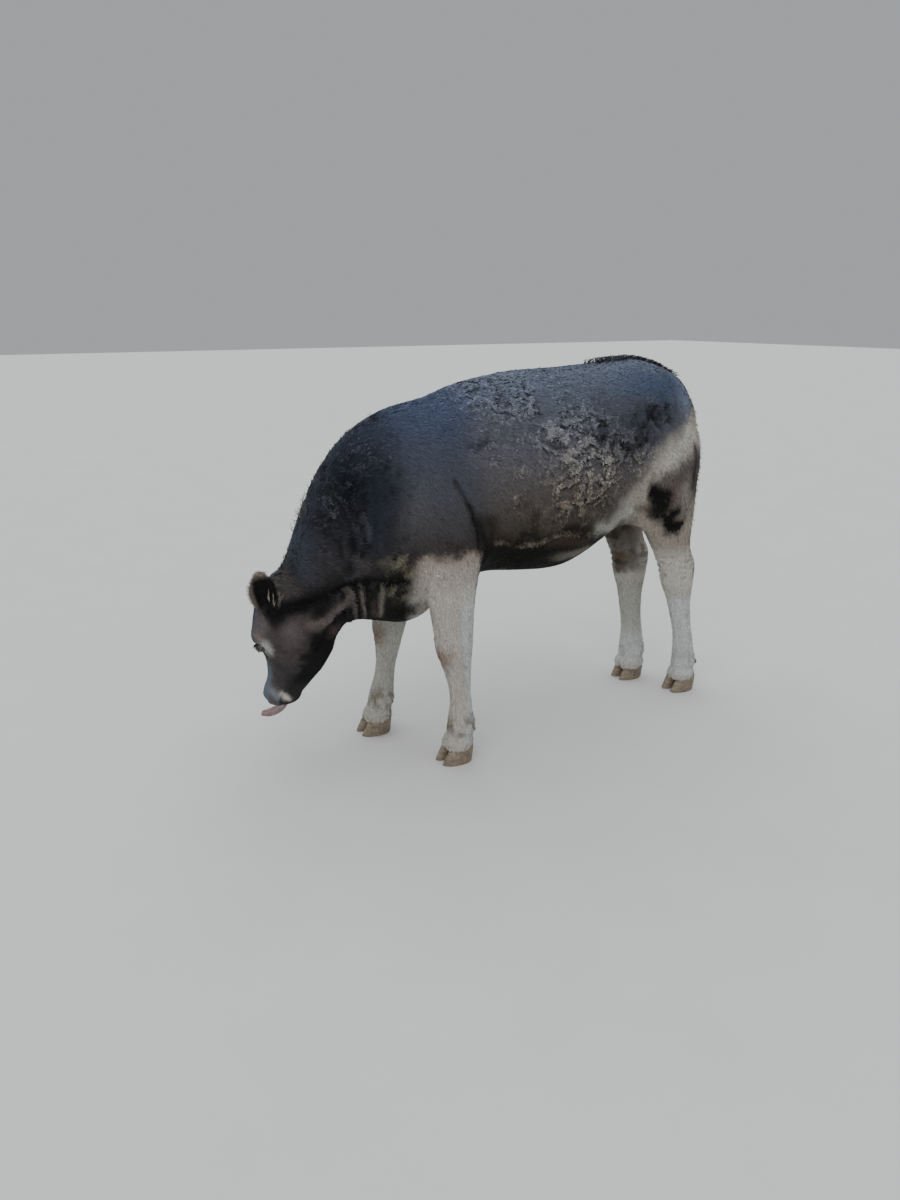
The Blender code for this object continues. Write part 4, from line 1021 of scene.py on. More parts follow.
    # belly: near black with painted shade, with a pale curly fringe along it and a grey wedge behind
    c = lay(c, seen(9, 9, 7), stroke([(0.060, -0.170, 0.640), (0.150, -0.175, 0.645), (0.230, -0.180, 0.640), (0.300, -0.185, 0.645)], 0.034, 0.008) * 1.0)
    c = lay(c, seen(50, 40, 31), stroke([(0.290, -0.205, 0.672), (0.360, -0.205, 0.672), (0.430, -0.190, 0.655)], 0.018, 0.008) * 0.9)
    c = lay(c, seen(90, 83, 73), stroke([(0.095, -0.186, 0.704), (0.178, -0.185, 0.676), (0.242, -0.196, 0.680), (0.287, -0.210, 0.700), (0.364, -0.211, 0.698), (0.430, -0.195, 0.678)], 0.0075, 0.012) * (0.55 + 0.6 * tiny + 0.5 * rough(p, 0.05, 96)))
    c = lay(c, seen(97, 93, 84), spot((0.410, -0.150, 0.612), (0.085, 0.06, 0.020), 3, 0.010) * 0.9)
    c = lay(c, seen(92, 90, 82), spot((0.160, -0.090, 0.566), (0.028, 0.06, 0.012), 2, 0.008) * 0.7)
    # flank fold, pale, brightest where it meets the leg
    c = lay(c, seen(132, 131, 126), spot((0.575, -0.165, 0.735), (0.060, 0.07, 0.070), 3, 0.016) * 0.95)
    c = lay(c, seen(134, 133, 127), stroke([(0.470, -0.195, 0.700), (0.520, -0.170, 0.690), (0.560, -0.150, 0.680)], 0.026, 0.010) * 0.85)
    c = lay(c, seen(188, 190, 184), spot((0.625, -0.165, 0.745), (0.022, 0.04, 0.026), 2, 0.006))
    # cream slash over the thigh
    slash = stroke([(0.900, -0.170, 0.990), (0.842, -0.193, 0.945), (0.765, -0.196, 0.912), (0.700, -0.200, 0.868), (0.655, -0.195, 0.815), (0.630, -0.180, 0.765)], 0.055, 0.014)
    c = lay(c, seen(134, 129, 121), slash * 1.35 - 0.18)
    c = lay(c, seen(152, 150, 145), stroke([(0.850, -0.190, 0.970), (0.790, -0.196, 0.915), (0.725, -0.200, 0.880)], 0.022, 0.010) * 0.8)
    # leg below it, with the brown and black patch
    hind = ease(0.60, 0.70, p[:, 0])
    c = lay(c, seen(128, 121, 112), ease(0.800, 0.720, z) * hind)
    c = lay(c, seen(78, 70, 66), spot((0.800, -0.200, 0.765), (0.080, 0.08, 0.090), 4, 0.012) * 0.95)
    c = lay(c, seen(112, 108, 104), spot((0.835, -0.200, 0.770), (0.036, 0.07, 0.055), 3, 0.010) * 0.75)
    c = lay(c, seen(38, 34, 33), stroke([(0.870, -0.190, 0.930), (0.872, -0.195, 0.860), (0.868, -0.195, 0.800)], 0.012, 0.006) * 0.9)
    black = np.maximum.reduce([stroke([(0.716, -0.191, 0.800), (0.722, -0.191, 0.760), (0.745, -0.190, 0.705), (0.790, -0.190, 0.672), (0.820, -0.190, 0.664)], 0.029, 0.012), spot((0.735, -0.191, 0.750), (0.046, 0.06, 0.056), 3, 0.012), 0.8 * spot((0.780, -0.190, 0.700), (0.036, 0.06, 0.034), 3, 0.016)])
    c = lay(c, seen(8, 7, 6), black * (1.45 + 0.5 * tiny) - 0.10)
    c = lay(c, seen(58, 48, 42), stroke([(0.640, -0.160, 0.740), (0.690, -0.175, 0.735), (0.705, -0.178, 0.715)], 0.012, 0.006) * 0.7)
    # forearm: cream from the elbow down
    mx, my = leg_middle("fore_left", p[:, 2])
    fore = ease(0.150, 0.112, np.hypot(p[:, 0] - mx, p[:, 1] - my))
    mx, my = leg_middle("fore_right", p[:, 2])
    fore = np.maximum(fore, ease(0.150, 0.112, np.hypot(p[:, 0] - mx, p[:, 1] - my)))
    edge = 0.690 - 0.55 * np.clip(-0.135 - p[:, 0], 0, 0.2) + 0.010 * tiny
    arm = ease(edge + 0.012, edge - 0.030, z) * fore * ease(0.044, 0.026, p[:, 0])
    c = lay(c, seen(36, 32, 31), stroke([(-0.110, -0.170, 0.712), (-0.060, -0.188, 0.708), (-0.005, -0.194, 0.700)], 0.012, 0.010) * ease(0.0, 0.6, rough(p, 0.02, 93)) * 0.8)
    c = lay(c, bands(z, [(0.690, (120, 110, 102)), (0.640, (138, 131, 124)), (0.560, (152, 148, 141)), (0.400, (154, 153, 149)), (0.0, (156, 158, 155))]), arm)
    c = lay(c, seen(86, 66, 54), arm * ease(0.25, 0.9, rough(p, 0.022, 9)) * spot((-0.105, -0.165, 0.590), (0.050, 0.06, 0.075), 3) * 0.75)
    # brisket mottled olive over black
    c = lay(c, seen(22, 21, 18), spot((-0.215, -0.100, 0.590), (0.075, 0.07, 0.075), 3, 0.012) * 0.85)
    c = lay(c, seen(94, 91, 78), np.maximum.reduce([spot((-0.196, -0.108, 0.568), (0.036, 0.05, 0.028), 3, 0.014), spot((-0.215, -0.118, 0.660), (0.046, 0.05, 0.024), 3, 0.018), spot((-0.158, -0.125, 0.628), (0.030, 0.05, 0.020), 3, 0.016)]) * ease(-0.5, 0.3, rough(p, 0.025, 12)))
    c = lay(c, seen(9, 9, 8), spot((-0.150, -0.080, 0.500), (0.060, 0.07, 0.030), 3, 0.008) * 0.9)
    # lower legs
    for foot in FEET:
        mx, my = leg_middle(foot, p[:, 2])
        own = ease(0.120, 0.085, np.hypot(p[:, 0] - mx, p[:, 1] - my))
        lower = own * ease(0.60, 0.50, p[:, 2])
        q = p[:, 0] - mx
        if foot.startswith("fore"):
            c = lay(c, seen(152, 146, 139), lower * ease(0.012, -0.014, q + 0.008 * fine) * 0.85)
            c = lay(c, seen(164, 166, 164), lower * ease(-0.006, 0.018, q + 0.004 * fine) * 0.90)
            if foot == "fore_right":
                c = lay(c, seen(150, 150, 142), own * ease(0.62, 0.52, p[:, 2]) * 0.8)
                c = lay(c, seen(84, 78, 66), own * ease(0.40, 0.47, p[:, 2]) * ease(0.60, 0.5, p[:, 2]) * 0.5)
            c = lay(c, seen(96, 76, 62), lower * blob(np.column_stack([q, p[:, 1] - my, z]), (-0.048, 0, 0.355), (0.026, 0.05, 0.040), 3) * 0.70)
            c = lay(c, seen(104, 78, 62), lower * ease(0.35, 0.9, rough(p, 0.020, 95)) * ease(0.20, 0.26, p[:, 2]) * ease(0.50, 0.40, p[:, 2]) * ease(0.0, -0.02, q) * 0.45)
        else:
            c = lay(c, seen(168, 171, 170), lower * ease(0.44, 0.34, z) * 0.9)
            c = lay(c, seen(170, 167, 160), own * ease(0.60, 0.52, p[:, 2]) * ease(0.36, 0.44, z) * 0.85)
            if foot == "hind_right":
                # painted shade over the upper far hind leg, under the belly, streaked darker by noise
                c = lay(c, seen(44, 38, 32), own * ease(0.41, 0.46, z) * ease(0.66, 0.62, z) * (0.75 + 0.3 * fine) * ease(0.05, -0.03, q))
                c = lay(c, seen(62, 76, 88), own * near_line(p, [(0.930, 0.04, 0.62), (0.915, 0.03, 0.54), (0.925, 0.035, 0.46)], 0.022) * 0.85)
                c = lay(c, seen(128, 126, 116), own * ease(0.44, 0.36, z) * ease(0.14, 0.24, z) * 0.6)
        wrinkle = ease(0.43, 0.46, p[:, 2]) * ease(0.57, 0.53, p[:, 2]) if foot.startswith("hind") else 0 * q
        folds = noise(np.column_stack([p[:, 0] * 0.3, p[:, 1] * 0.3, p[:, 2]]), 0.0085, 7)
        c = lay(c, seen(96, 80, 66), own * wrinkle * ease(0.15, 0.6, folds) * 0.65)
        c = lay(c, seen(78, 70, 54), own * blob(np.column_stack([q, 0 * q, p[:, 2]]), (-0.010, 0, 0.125), (0.06, 1, 0.036), 2) * ease(-0.3, 0.4, rough(p, 0.03, 21)) * (0.85 if foot.startswith("fore") else 0.35))
        c = lay(c, seen(150, 146, 138), own * ease(0.085, 0.062, p[:, 2]) * 0.7)
    # tail: grey-brown above, paler switch
    t = tail_share(p)
    c = lay(c, seen(70, 66, 66), t)
    c = lay(c, seen(120, 112, 100), t * ease(0.74, 0.58, p[:, 2]))
    c = lay(c, seen(52, 42, 38), spot((0.985, 0, 0.945), (0.05, 0.05, 0.10)) * 0.6)
    c = lay(c, seen(150, 118, 106), blob(p, (0.790, 0, 0.690), (0.085, 0.065, 0.032), 4))
    # head
    h = head_places(p)
    side = h.copy()
    side[:, 2] = np.abs(h[:, 2])
    hf, hs = rough(h, 0.03, 51), rough(h, 0.009, 52, 2)
    a, d = h[:, 0] + 0.004 * hf, h[:, 1] + 0.004 * hf
    face = np.tile(seen(64, 58, 57), (len(p), 1))
    face = face * (1 + 0.30 * hf + 0.26 * hs)[:, None]
    face = lay(face, seen(84, 76, 76), blob(side, (0.075, 0.115, 0.076), (0.050, 0.036, 0.06), 3) * (0.85 + 0.3 * hf))
    face = lay(face, seen(53, 51, 53), ease(0.165, 0.225, a) * ease(0.050, 0.085, d) * (0.7 + 0.8 * hf))
    # painted shade, dark, over the lower jaw
    face = lay(face, seen(26, 26, 27), ease(0.215, 0.275, a) * ease(0.080, 0.105, d) * 0.85)
    # forehead and bridge of the nose: bluish, paler, a painted highlight from the sky
    face = lay(face, seen(80, 82, 90), ease(0.042, 0.010, d) * 0.85)
    face = lay(face, seen(88, 98, 107), ease(0.170, 0.250, a) * ease(0.062, 0.040, d) * 0.9)
    # black under the jaw, painted shade; the lighter strap from the cheek to the throat, the dark groove under it and
    # the pinkish lobe are laid further on
    face = lay(face, seen(5, 6, 6), ease(0.148, 0.176, d + 0.007 * hf + 0.30 * np.clip(a - 0.11, 0, 1) + 0.10 * np.clip(0.03 - a, 0, 1)) * 0.97)
    # black painted shadow under the ear, where the edge of the neck begins
    face = lay(face, seen(8, 8, 9), spot((-0.552, -0.046, 0.526), (0.030, 0.04, 0.026), 3, 0.004) * 0.9)
    # round the eyes
    face = lay(face, seen(126, 112, 108), blob(side, (0.112, 0.030, 0.082), (0.018, 0.016, 0.03), 2) * 0.75)
    face = lay(face, seen(100, 94, 96), blob(side, (0.070, 0.040, 0.082), (0.040, 0.020, 0.03), 2) * 0.6)
    face = lay(face, seen(166, 168, 166), blob(side, (0.143, 0.056, 0.084), (0.028, 0.019, 0.03), 3) * 1.0 * (0.95 + 0.4 * hs))
    face = lay(face, seen(122, 120, 118), blob(side, (0.172, 0.052, 0.074), (0.020, 0.012, 0.03), 2) * 0.75)
    # muzzle: bluish edge of the nose as a painted highlight, pale beige over the mouth, dark chin and lips
    face = lay(face, seen(78, 74, 74), ease(0.285, 0.305, a) * ease(0.095, 0.070, d) * 0.8)
    face = lay(face, seen(88, 98, 110), ease(0.280, 0.310, a) * ease(0.060, 0.045, d) * 0.8)
    face = lay(face, seen(108, 112, 120), near_line(side, [(0.312, 0.060, 0.054), (0.322, 0.070, 0.052), (0.332, 0.082, 0.047)], 0.0110) * 0.9)
    face = lay(face, seen(184, 176, 168), near_line(side, [(0.316, 0.088, 0.045), (0.328, 0.095, 0.042), (0.340, 0.106, 0.028)], 0.0095) * 1.1)
    face = lay(face, seen(34, 32, 32), ease(0.098, 0.108, d) * ease(0.26, 0.29, a) * 0.9)
    bare = ease(0.346, 0.354, h[:, 0] - 0.25 * np.clip(h[:, 1] - 0.055, 0, 1)) * ease(0.079, 0.071, h[:, 1]) * ease(0.052, 0.040, side[:, 2])
    face = lay(face, seen(84, 82, 88), bare * 0.95)
    # painted shade, black, standing in for the depth of the nostril
    face = lay(face, seen(6, 5, 6), blob(side, (0.353, 0.040, 0.035), (0.0150, 0.0080, 0.0125), 3) * 1.1)
    # painted shade, dark, in the slit and corner of the open mouth
    mouth = [(0.378, 0.082, 0.0), (0.372, 0.082, 0.022), (0.354, 0.083, 0.041), (0.334, 0.086, 0.048), (0.312, 0.090, 0.047)]
    face = lay(face, seen(16, 13, 14), near_line(side, mouth, 0.0036) * 0.95)
    face = lay(face, seen(16, 13, 14), blob(side, (0.306, 0.093, 0.047), (0.008, 0.006, 0.02), 2) * 0.9)
    # rims of the lids are dark and bare
    for middle, way, back, top in EYES.values():
        d3 = p - middle
        r = np.linalg.norm(d3, axis=1)
        q = d3 / (r[:, None] + 1e-9)
        u, v, w = q @ back, q @ top, q @ way
        angle = np.arccos(np.clip(w, -1, 1))
        flat = np.hypot(u, v) + 1e-9
        bu, bv = u / flat * angle * EYE_RADIUS, v / flat * angle * EYE_RADIUS
        bv = bv + 0.10 * bu
        shape = np.sqrt((np.abs(bu) / LID_BACK) ** 2.2 + (np.abs(bv) / np.where(bv > 0, LID_UP, LID_DOWN)) ** 2.0 + 1e-12)
        ring = (r < 0.034) * (w > 0) * ease(1.34, 1.12, shape)
        face = lay(face, seen(14, 12, 12), ring * 0.97)
        face = lay(face, seen(26, 22, 22), (r < 0.042) * (w > 0) * blob(np.column_stack([bu, bv, 0 * bu]), (-0.0240, -0.004, 0), (0.0075, 0.0030, 1), 2) * 0.9)
    c = lay(c, face, heads)
    # over head and neck alike: the strap, the groove, the black band, the throat; the groove and band are painted shade
    # and shadow, the throat has painted shade with painted highlights on its wrinkles
    c = lay(c, seen(84, 76, 74), stroke([(-0.470, -0.085, 0.500), (-0.440, -0.089, 0.500), (-0.410, -0.090, 0.522), (-0.358, -0.083, 0.545)], 0.017, 0.003) * 0.85)
    # painted shade over the throat
    c = lay(c, seen(16, 15, 15), spot((-0.330, -0.080, 0.550), (0.060, 0.06, 0.055), 4, 0.004) * ease(-0.385, -0.365, x) * 0.9)
    # painted shade, black, in the groove under the strap
    c = lay(c, seen(8, 8, 8), stroke([(-0.445, -0.070, 0.425), (-0.425, -0.082, 0.464), (-0.397, -0.086, 0.500), (-0.357, -0.076, 0.524)], 0.0110, 0.003) * 1.0)
    c = lay(c, seen(70, 56, 56), spot((-0.393, -0.078, 0.472), (0.026, 0.04, 0.020), 3, 0.004) * 0.85)
    # painted highlights on the ridges of the wrinkles of the throat
    for ridge, width, shade in (
        ([(-0.348, -0.092, 0.590), (-0.338, -0.085, 0.545), (-0.315, -0.058, 0.499)], 0.0070, (78, 73, 70)),
        ([(-0.314, -0.099, 0.602), (-0.305, -0.090, 0.555), (-0.285, -0.055, 0.494)], 0.0058, (92, 86, 80)),
        ([(-0.275, -0.095, 0.545), (-0.262, -0.070, 0.500)], 0.0070, (60, 52, 50)),
        ([(-0.250, -0.100, 0.580), (-0.246, -0.090, 0.540), (-0.240, -0.062, 0.494)], 0.0100, (94, 88, 82)),
    ):
        c = lay(c, seen(*shade), stroke(ridge, width, 0.003) * 0.95)
    # painted shadow, black, in a band under the edge of the neck from behind the jaw and the ear
    band = np.maximum.reduce([stroke([(-0.560, -0.050, 0.545), (-0.520, -0.072, 0.556), (-0.480, -0.086, 0.566)], 0.021, 0.004), stroke([(-0.480, -0.084, 0.566), (-0.435, -0.083, 0.578), (-0.389, -0.083, 0.594)], 0.0125, 0.004), stroke([(-0.389, -0.083, 0.594), (-0.347, -0.095, 0.610), (-0.289, -0.104, 0.611), (-0.229, -0.113, 0.605), (-0.190, -0.120, 0.606)], 0.0135, 0.006)])
    c = lay(c, seen(4, 4, 5), band * 1.10)
    c = lay(c, seen(4, 4, 5), stroke([(-0.556, -0.050, 0.548), (-0.520, -0.072, 0.562), (-0.480, -0.086, 0.574), (-0.440, -0.086, 0.588)], 0.023, 0.004) * 1.05)
    c = lay(c, seen(86, 77, 75), stroke([(-0.468, -0.085, 0.504), (-0.440, -0.089, 0.506), (-0.410, -0.090, 0.528), (-0.362, -0.083, 0.552)], 0.0115, 0.003) * 0.85)
    c = lay(c, seen(47, 45, 47), spot((-0.458, -0.065, 0.655), (0.060, 0.070, 0.050), 3, 0.012) * 0.65)
    # ears: grey-brown outside, near black in the hollow, pale rim
    share, along, across_by, depth = ear_share(p)
    for s in (1, -1):
        base, tip_way, front, across = ear_frame(s)
        close = np.linalg.norm(p - (base + tip_way * EAR_LENGTH * 0.55), axis=1) < 0.115
        towards = facing @ front
        e = np.tile(seen(78, 71, 70), (len(p), 1))
        out_side = ease(0.50, 0.78, -across_by)  # the outer edge is broad and fuzzy, the other one narrow
        hollow = ease(0.05, 0.45, towards) * ease(0.99, 0.86, across_by) * (1 - out_side) * ease(0.98, 0.80, along)
        e = lay(e, seen(13, 9, 9), hollow)
        e = lay(e, seen(104, 94, 88), out_side * ease(0.20, 0.40, along) * 0.8)
        e = lay(e, seen(104, 94, 88), ease(0.80, 0.95, along) * 0.8)
        rim = np.maximum(ease(0.84, 0.98, -across_by), ease(0.92, 1.0, along))
        e = lay(e, seen(158, 154, 144), rim * 0.9 * ease(0.22, 0.40, along))
        e = lay(e, seen(112, 106, 98), ease(0.90, 0.99, across_by) * 0.5 * ease(0.25, 0.45, along))
        c = lay(c, e, share * close)
    # painted shade under the roots of the ears
    c = lay(c, seen(12, 10, 11), ear_root_shade(p) * 0.85)
    return np.clip(c, 0.002, 0.9)


def ear_root_shade(p):
    """Painted shade in the hollow under the root of each ear."""
    return np.maximum(blob(p, in_head(0.052, 0.072, 0.076), (0.016, 0.016, 0.030), 2), blob(p, in_head(0.052, 0.072, -0.076), (0.016, 0.016, 0.030), 2))


def store_colour(mesh, name, colour):
    layer = mesh.color_attributes.new(name, "FLOAT_COLOR", "POINT")
    rgba = np.ones((len(mesh.vertices), 4), np.float32)
    rgba[:, :3] = colour
    layer.data.foreach_set("color", rgba.ravel())


# ---------------------------------------------------------------- which way the hair lies
def lie(p, normal):
    """The way the coat lies at points, along the skin."""
    way = np.zeros((len(p), 3))
    side = np.sign(p[:, 1]) + (p[:, 1] == 0)
    # trunk: back and down, more down low on the side
    down = 0.25 + 0.9 * ease(1.12, 0.80, p[:, 2])
    way[:] = np.column_stack([np.full(len(p), 0.85), side * 0.10, -down])
    # neck: from the head back and down
    neck = ease(-0.10, -0.28, p[:, 0])
    way = mixed(way, np.column_stack([np.full(len(p), 0.70), side * 0.12, -0.30 + 0.75 * ease(0.55, 0.95, p[:, 2])]), neck)
    # belly: back and to the middle line
    under = ease(0.66, 0.60, p[:, 2]) * ease(-0.3, -0.8, normal[:, 2]) * (p[:, 0] > 0)
    way = mixed(way, np.column_stack([np.full(len(p), 0.8), -side * 0.45, np.full(len(p), -0.1)]), under)
    # thighs and legs: down
    leg = np.maximum(ease(0.68, 0.56, p[:, 2]) * (p[:, 0] > -0.33) * (np.abs(p[:, 1]) > 0.04) * (p[:, 0] < 0.14), ease(0.60, 0.72, p[:, 0]) * ease(0.98, 0.80, p[:, 2]))
    way = mixed(way, np.column_stack([0.18 * np.ones(len(p)), side * 0.05, -np.ones(len(p))]), leg)
    # rump: round to the back and down
    rump = ease(0.80, 0.95, p[:, 0]) * ease(0.90, 1.0, p[:, 2])
    way = mixed(way, np.column_stack([0.35 * np.ones(len(p)), side * 0.1, -np.ones(len(p))]), rump)
    t = tail_share(p)
    way = mixed(way, np.tile((0.02, 0, -1.0), (len(p), 1)), t)
    # head: back from the muzzle over the cheeks, up the forehead to the poll
    h = head_places(p)
    on = head_share(p)
    face = -ALONG + DOWN * (0.45 * ease(0.02, 0.10, h[:, 1]))[:, None] + LEFT * (np.sign(h[:, 2]) * 0.15)[:, None]
    whorl = blob(h, (0.10, -0.01, 0.0), (0.05, 0.03, 0.05), 4)
    spin = np.cross(normal, unit(p - in_head(0.10, -0.012, 0.0)))
    face = face + whorl[:, None] * (spin * 1.2 + unit(p - in_head(0.10, -0.012, 0.0)) * 0.8)
    way = mixed(way, face, on)
    share, along, across_by, depth = ear_share(p)
    for s in (1, -1):
        base, tip_way, front, across = ear_frame(s)
        close = np.linalg.norm(p - (base + tip_way * EAR_LENGTH * 0.5), axis=1) < 0.125
        e = tip_way + across * (0.55 * across_by)[:, None]
        way = mixed(way, e, share * close)
    way = way - normal * (way * normal).sum(axis=1)[:, None]
    return unit(way)


def turned(way, normal, angle):
    side = np.cross(normal, way)
    return way * np.cos(angle)[:, None] + side * np.sin(angle)[:, None]


# ---------------------------------------------------------------- tufts
class Scatter:
    """Points spread over the skin's triangles by a given density."""

    def __init__(self, mesh):
        mesh.calc_loop_triangles()
        tri = np.empty(len(mesh.loop_triangles) * 3, np.int64)
        mesh.loop_triangles.foreach_get("vertices", tri)
        self.tri = tri.reshape(-1, 3)
        self.co, self.normal = points_of(mesh), normals_of(mesh)
        a, b, c = (self.co[self.tri[:, k]] for k in range(3))
        self.area = np.linalg.norm(np.cross(b - a, c - a), axis=1) / 2
        self.centre = (a + b + c) / 3
        self.face_normal = unit(np.cross(b - a, c - a))

    def pick(self, density, seed):
        """density: tufts for each square metre, one value a triangle."""
        rng = np.random.default_rng(seed)
        want = self.area * density * SHARE
        count = np.floor(want + rng.random(len(want))).astype(int)
        at = np.repeat(np.arange(len(want)), count)
        rng.shuffle(at)
        r1, r2 = np.sqrt(rng.random(len(at))), rng.random(len(at))
        w = np.column_stack([1 - r1, r1 * (1 - r2), r1 * r2])
        tri = self.tri[at]
        p = (self.co[tri] * w[:, :, None]).sum(axis=1)
        n = unit((self.normal[tri] * w[:, :, None]).sum(axis=1))
        return p, n, rng


def unwrap(p):
    """A place on a flat map of the skin for each point: each limb is slit along one side and opened out."""
    u, v = np.empty(len(p)), np.empty(len(p))
    pi = math.pi
    # trunk and neck, by the angle round the middle line and the place along it
    middle = np.interp(p[:, 0], (-0.45, -0.2, 0.1, 0.5, 0.8, 1.0), (0.66, 0.78, 0.84, 0.86, 0.93, 0.96))
    angle = np.arctan2(p[:, 1], p[:, 2] - middle)
    u[:] = 0.02 + 0.96 * (angle / (2 * pi) + 0.5)
    v[:] = 0.02 + 0.50 * np.clip((p[:, 0] + 0.60) / 1.65, 0, 1)
    h = head_places(p)
    on = head_share(p) > 0.5
    a = np.arctan2(h[:, 2], h[:, 1] - 0.085)
    u = np.where(on, 0.02 + 0.44 * (a / (2 * pi) + 0.5), u)
    v = np.where(on, 0.54 + 0.22 * np.clip((h[:, 0] + 0.08) / 0.47, 0, 1), v)
    for k, foot in enumerate(FEET):
        mx, my = leg_middle(foot, p[:, 2])
        own = (np.hypot(p[:, 0] - mx, p[:, 1] - my) < 0.105) & (p[:, 2] < 0.62) & (p[:, 0] > -0.34)
        a = np.arctan2(p[:, 1] - my, p[:, 0] - mx)
        u = np.where(own, 0.02 + 0.245 * k + 0.22 * (a / (2 * pi) + 0.5), u)
        v = np.where(own, 0.78 + 0.20 * np.clip(p[:, 2] / 0.62, 0, 1), v)
    t = tail_share(p) > 0.5
    a = np.arctan2(p[:, 1], p[:, 0] - 1.03)
    u = np.where(t, 0.50 + 0.14 * (a / (2 * pi) + 0.5), u)
    v = np.where(t, 0.54 + 0.22 * np.clip((p[:, 2] - 0.38) / 0.7, 0, 1), v)
    share, along, across_by, depth = ear_share(p)
    e = share > 0.5
    right = p[:, 0] > -0.52 - 0.25 * (p[:, 1] < 0.05)
    right = p[:, 1] > 0.05
    u = np.where(e, 0.68 + 0.15 * right + 0.12 * np.clip(across_by * 0.5 + 0.5, 0, 1), u)
    v = np.where(e, 0.54 + 0.22 * np.clip(along, 0, 1) * np.where(depth > 0, 1, 1), v)
    return np.column_stack([u, v])


BUILT = []


def tufts(name, p, n, way, length, width, lift, rng, colour, slot, paths=3, roof=0.0, curl=0.0, droop=None, fade=(0.80, 1.12), sink=0.0012, spread=0.5, limit=190000, gather=None):
    """Joined mesh locks. Each is a thin tapering strip from its root, along `way`, rising by `lift`."""
    count = len(p)
    if count == 0:
        return []
    length, width, lift = (np.broadcast_to(np.asarray(a, float), (count,)) for a in (length, width, lift))
    length = length * rng.uniform(0.75, 1.2, count)
    width = width * rng.uniform(0.75, 1.25, count)
    side = np.cross(n, way)
    roll = rng.normal(0, spread, count)
    rows = []
    across_ways = []
    amount = np.broadcast_to(np.asarray(curl, float), (count,))
    phase = rng.uniform(0, 2 * math.pi, count)
    hand = rng.choice([-1.0, 1.0], count)
    tip_share = rng.uniform(0.25, 1.0, count) if droop is None else np.broadcast_to(np.asarray(droop, float), (count,)) * rng.uniform(0.7, 1.3, count)
    for k in range(paths + 1):
        t = k / paths
        rise = lift * (math.sin(min(t * 1.25, 1) * math.pi / 2) * (1 - t * t) + tip_share * t * t)
        sway = amount * hand * (np.sin(t * 3.4 + 0.35 * np.sin(phase)) - 0.3 * t)
        out = p + way * (length * (t - 0.12 * amount / 0.3 * t * t * 0.0))[:, None]
        out = out + side * (length * sway)[:, None]
        out = out + n * (rise - sink * (1 - t))[:, None]
        rows.append(out)
        a = side * np.cos(roll)[:, None] + n * np.sin(roll)[:, None]
        across_ways.append(a)
    if gather is not None:
        for k in range(1, paths + 1):
            rows[k] = rows[k] + gather * ((k / paths) ** 1.5)
    half = [0.62, 1.0, 0.80, 0.55, 0.35] if paths >= 4 else [0.70, 1.0, 0.62]
    shape = np.interp(np.linspace(0, 1, paths + 1)[:-1], np.linspace(0, 0.82, len(half)), half)
    cols = 3 if roof > 0 else 2
    stride = paths * cols + 1
    co = np.empty((count, stride, 3))
    for k in range(paths):
        w = (width * shape[k] / 2)[:, None]
        co[:, k * cols] = rows[k] - across_ways[k] * w
        co[:, k * cols + cols - 1] = rows[k] + across_ways[k] * w
        if roof > 0:
            lifted = unit(np.cross(way, across_ways[k]))
            lifted = lifted * np.sign((lifted * n).sum(axis=1))[:, None]
            co[:, k * cols + 1] = rows[k] + lifted * (width * roof * shape[k])[:, None]
    co[:, -1] = rows[paths]
    pattern = []
    for k in range(paths - 1):
        for c in range(cols - 1):
            a = k * cols + c
            pattern.append((a, a + 1, a + cols + 1))
            pattern.append((a, a + cols + 1, a + cols))
    for c in range(cols - 1):
        a = (paths - 1) * cols + c
        pattern.append((a, a + 1, stride - 1))
    pattern = np.array(pattern)
    t_of = np.array([k / paths for k in range(paths) for _ in range(cols)] + [1.0])
    a_of = np.array([c / (cols - 1) for k in range(paths) for c in range(cols)] + [0.5])
    shade = fade[0] + (fade[1] - fade[0]) * t_of
    own = rng.normal(1.0, 0.11, count).clip(0.7, 1.4)
    col = colour[:, None, :] * shade[None, :, None] * own[:, None, None]
    root_uv = unwrap(p)
    uv = root_uv[:, None, :] + 0.003 * np.stack([np.broadcast_to(a_of - 0.5, (count, stride)), np.broadcast_to(t_of - 0.5, (count, stride))], axis=-1)
    strand = np.stack([a_of[None, :] + rng.integers(0, 200, count)[:, None], np.broadcast_to(t_of, (count, stride))], axis=-1)
    each = max(1, limit // len(pattern))
    made = []
    order = np.argsort(p[:, 0]) if count > each else np.arange(count)
    pieces = max(1, math.ceil(count / each))
    for k, chosen in enumerate(np.array_split(order, pieces)):
        m = len(chosen)
        label = name if pieces == 1 else f"{name}_{k + 1}"
        mesh = bpy.data.meshes.new(label)
        tris = (pattern[None] + (np.arange(m) * stride)[:, None, None]).reshape(-1)
        mesh.vertices.add(m * stride)
        mesh.vertices.foreach_set("co", (co[chosen] + MOVE).astype(np.float32).ravel())
        mesh.loops.add(len(tris))
        mesh.loops.foreach_set("vertex_index", tris.astype(np.int32))
        mesh.polygons.add(len(tris) // 3)
        mesh.polygons.foreach_set("loop_start", np.arange(0, len(tris), 3, dtype=np.int32))
        mesh.update(calc_edges=True)
        layer = mesh.uv_layers.new(name="OFBake")
        layer.data.foreach_set("uv", uv[chosen].reshape(-1, 2)[tris].astype(np.float32).ravel())
        layer = mesh.uv_layers.new(name="strand")
        layer.data.foreach_set("uv", strand[chosen].reshape(-1, 2)[tris].astype(np.float32).ravel())
        store_colour(mesh, "coat", col[chosen].reshape(-1, 3).clip(0.001, 0.95))
        mesh.validate()
        mesh.shade_smooth()
        thing = placed(label, mesh)
        mesh.materials.append(COAT)
        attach(thing, "root")
        made.append(thing)
        BUILT.append((label, len(tris) // 3))
    return made


